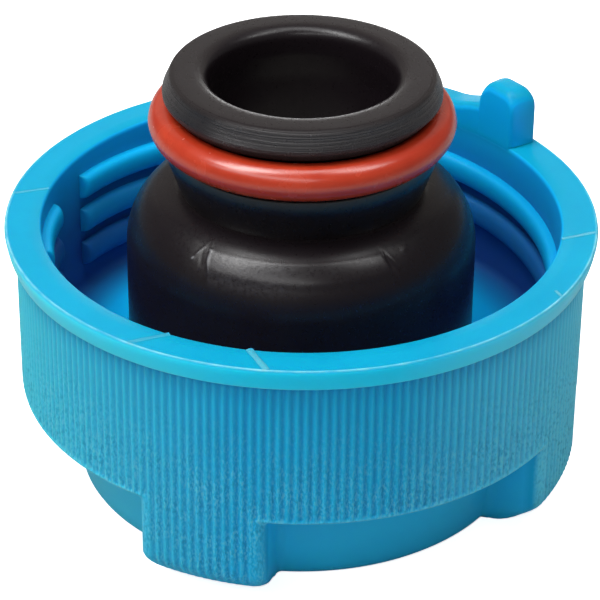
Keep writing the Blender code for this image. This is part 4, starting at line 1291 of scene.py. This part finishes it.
def floor_paper():
    """White paper that shines for the camera and is grey for the light that reaches the cap."""
    n = Nodes("floor_paper")
    where, _ = n.place()
    cloud = n.noise(40, 3, 0.5, where)
    seen = n.add("ShaderNodeLightPath").outputs["Is Camera Ray"]
    paper = n.mix(n.span(cloud, 0.3, 0.7), *PAPERS)
    n.surface(
        Base_Color=n.mix(seen, PAPER_FOR_LIGHT, paper),
        Roughness=0.9,
        Specular_IOR_Level=0.0,
        Emission_Color=(1, 1, 1, 1),
        Emission_Strength=n.times(seen, FLOOR_GLOW),
    )
    return n.material


def make_floor():
    corners = [(x * FLOOR_HALF, y * FLOOR_HALF, 0) for x, y in ((-1, -1), (1, -1), (1, 1), (-1, 1))]
    mesh = bpy.data.meshes.new("floor")
    mesh.from_pydata(corners, [], [(0, 1, 2, 3)])
    mesh.materials.append(floor_paper())
    floor = bpy.data.objects.new("floor", mesh)
    floor.location.z = cad_box[0].z - FLOOR_GAP
    bpy.context.scene.collection.objects.link(floor)


def make_lights():
    world = bpy.data.worlds.new("studio")
    world.use_nodes = True
    back = world.node_tree.nodes["Background"]
    back.inputs["Color"].default_value = (1.0, 1.0, 1.0, 1)
    back.inputs["Strength"].default_value = WORLD_STRENGTH
    bpy.context.scene.world = world
    for name, place, width, depth, watts, tint in SOFTBOXES:
        data = bpy.data.lights.new(name, "AREA")
        data.shape = "RECTANGLE"
        data.size = width
        data.size_y = depth
        data.energy = watts
        data.color = tint
        lamp = bpy.data.objects.new(name, data)
        lamp.location = place
        towards = Vector(LIGHTS_AIM) - Vector(place)
        lamp.rotation_euler = towards.to_track_quat("-Z", "Y").to_euler()
        bpy.context.scene.collection.objects.link(lamp)


def make_camera():
    data = bpy.data.cameras.new("camera")
    data.sensor_width = 36
    data.lens = CAMERA_LENS
    data.clip_start = 0.01
    camera = bpy.data.objects.new("camera", data)
    rise = math.radians(CAMERA_ELEVATION)
    back = Vector((0, -math.cos(rise), math.sin(rise)))
    camera.location = CAMERA_TARGET + back * CAMERA_DISTANCE
    level = Euler((math.pi / 2 - rise, 0, 0)).to_matrix()
    roll = Matrix.Rotation(math.radians(CAMERA_ROLL), 3, "Z")
    camera.rotation_euler = (level @ roll).to_euler()
    bpy.context.scene.collection.objects.link(camera)
    bpy.context.scene.camera = camera


make_camera()
make_floor()
make_lights()
bpy.context.scene.view_settings.view_transform = "Standard"
black = black_plastic()
steel = plain_material("spring_steel_looks", STEELS, 0.30, 1.0, 6000)
make_cap_shell(blue_plastic())
make_valve_housing(black)
make_o_ring(red_rubber())
dress_hidden_pieces(black, steel)
make_springs(steel)
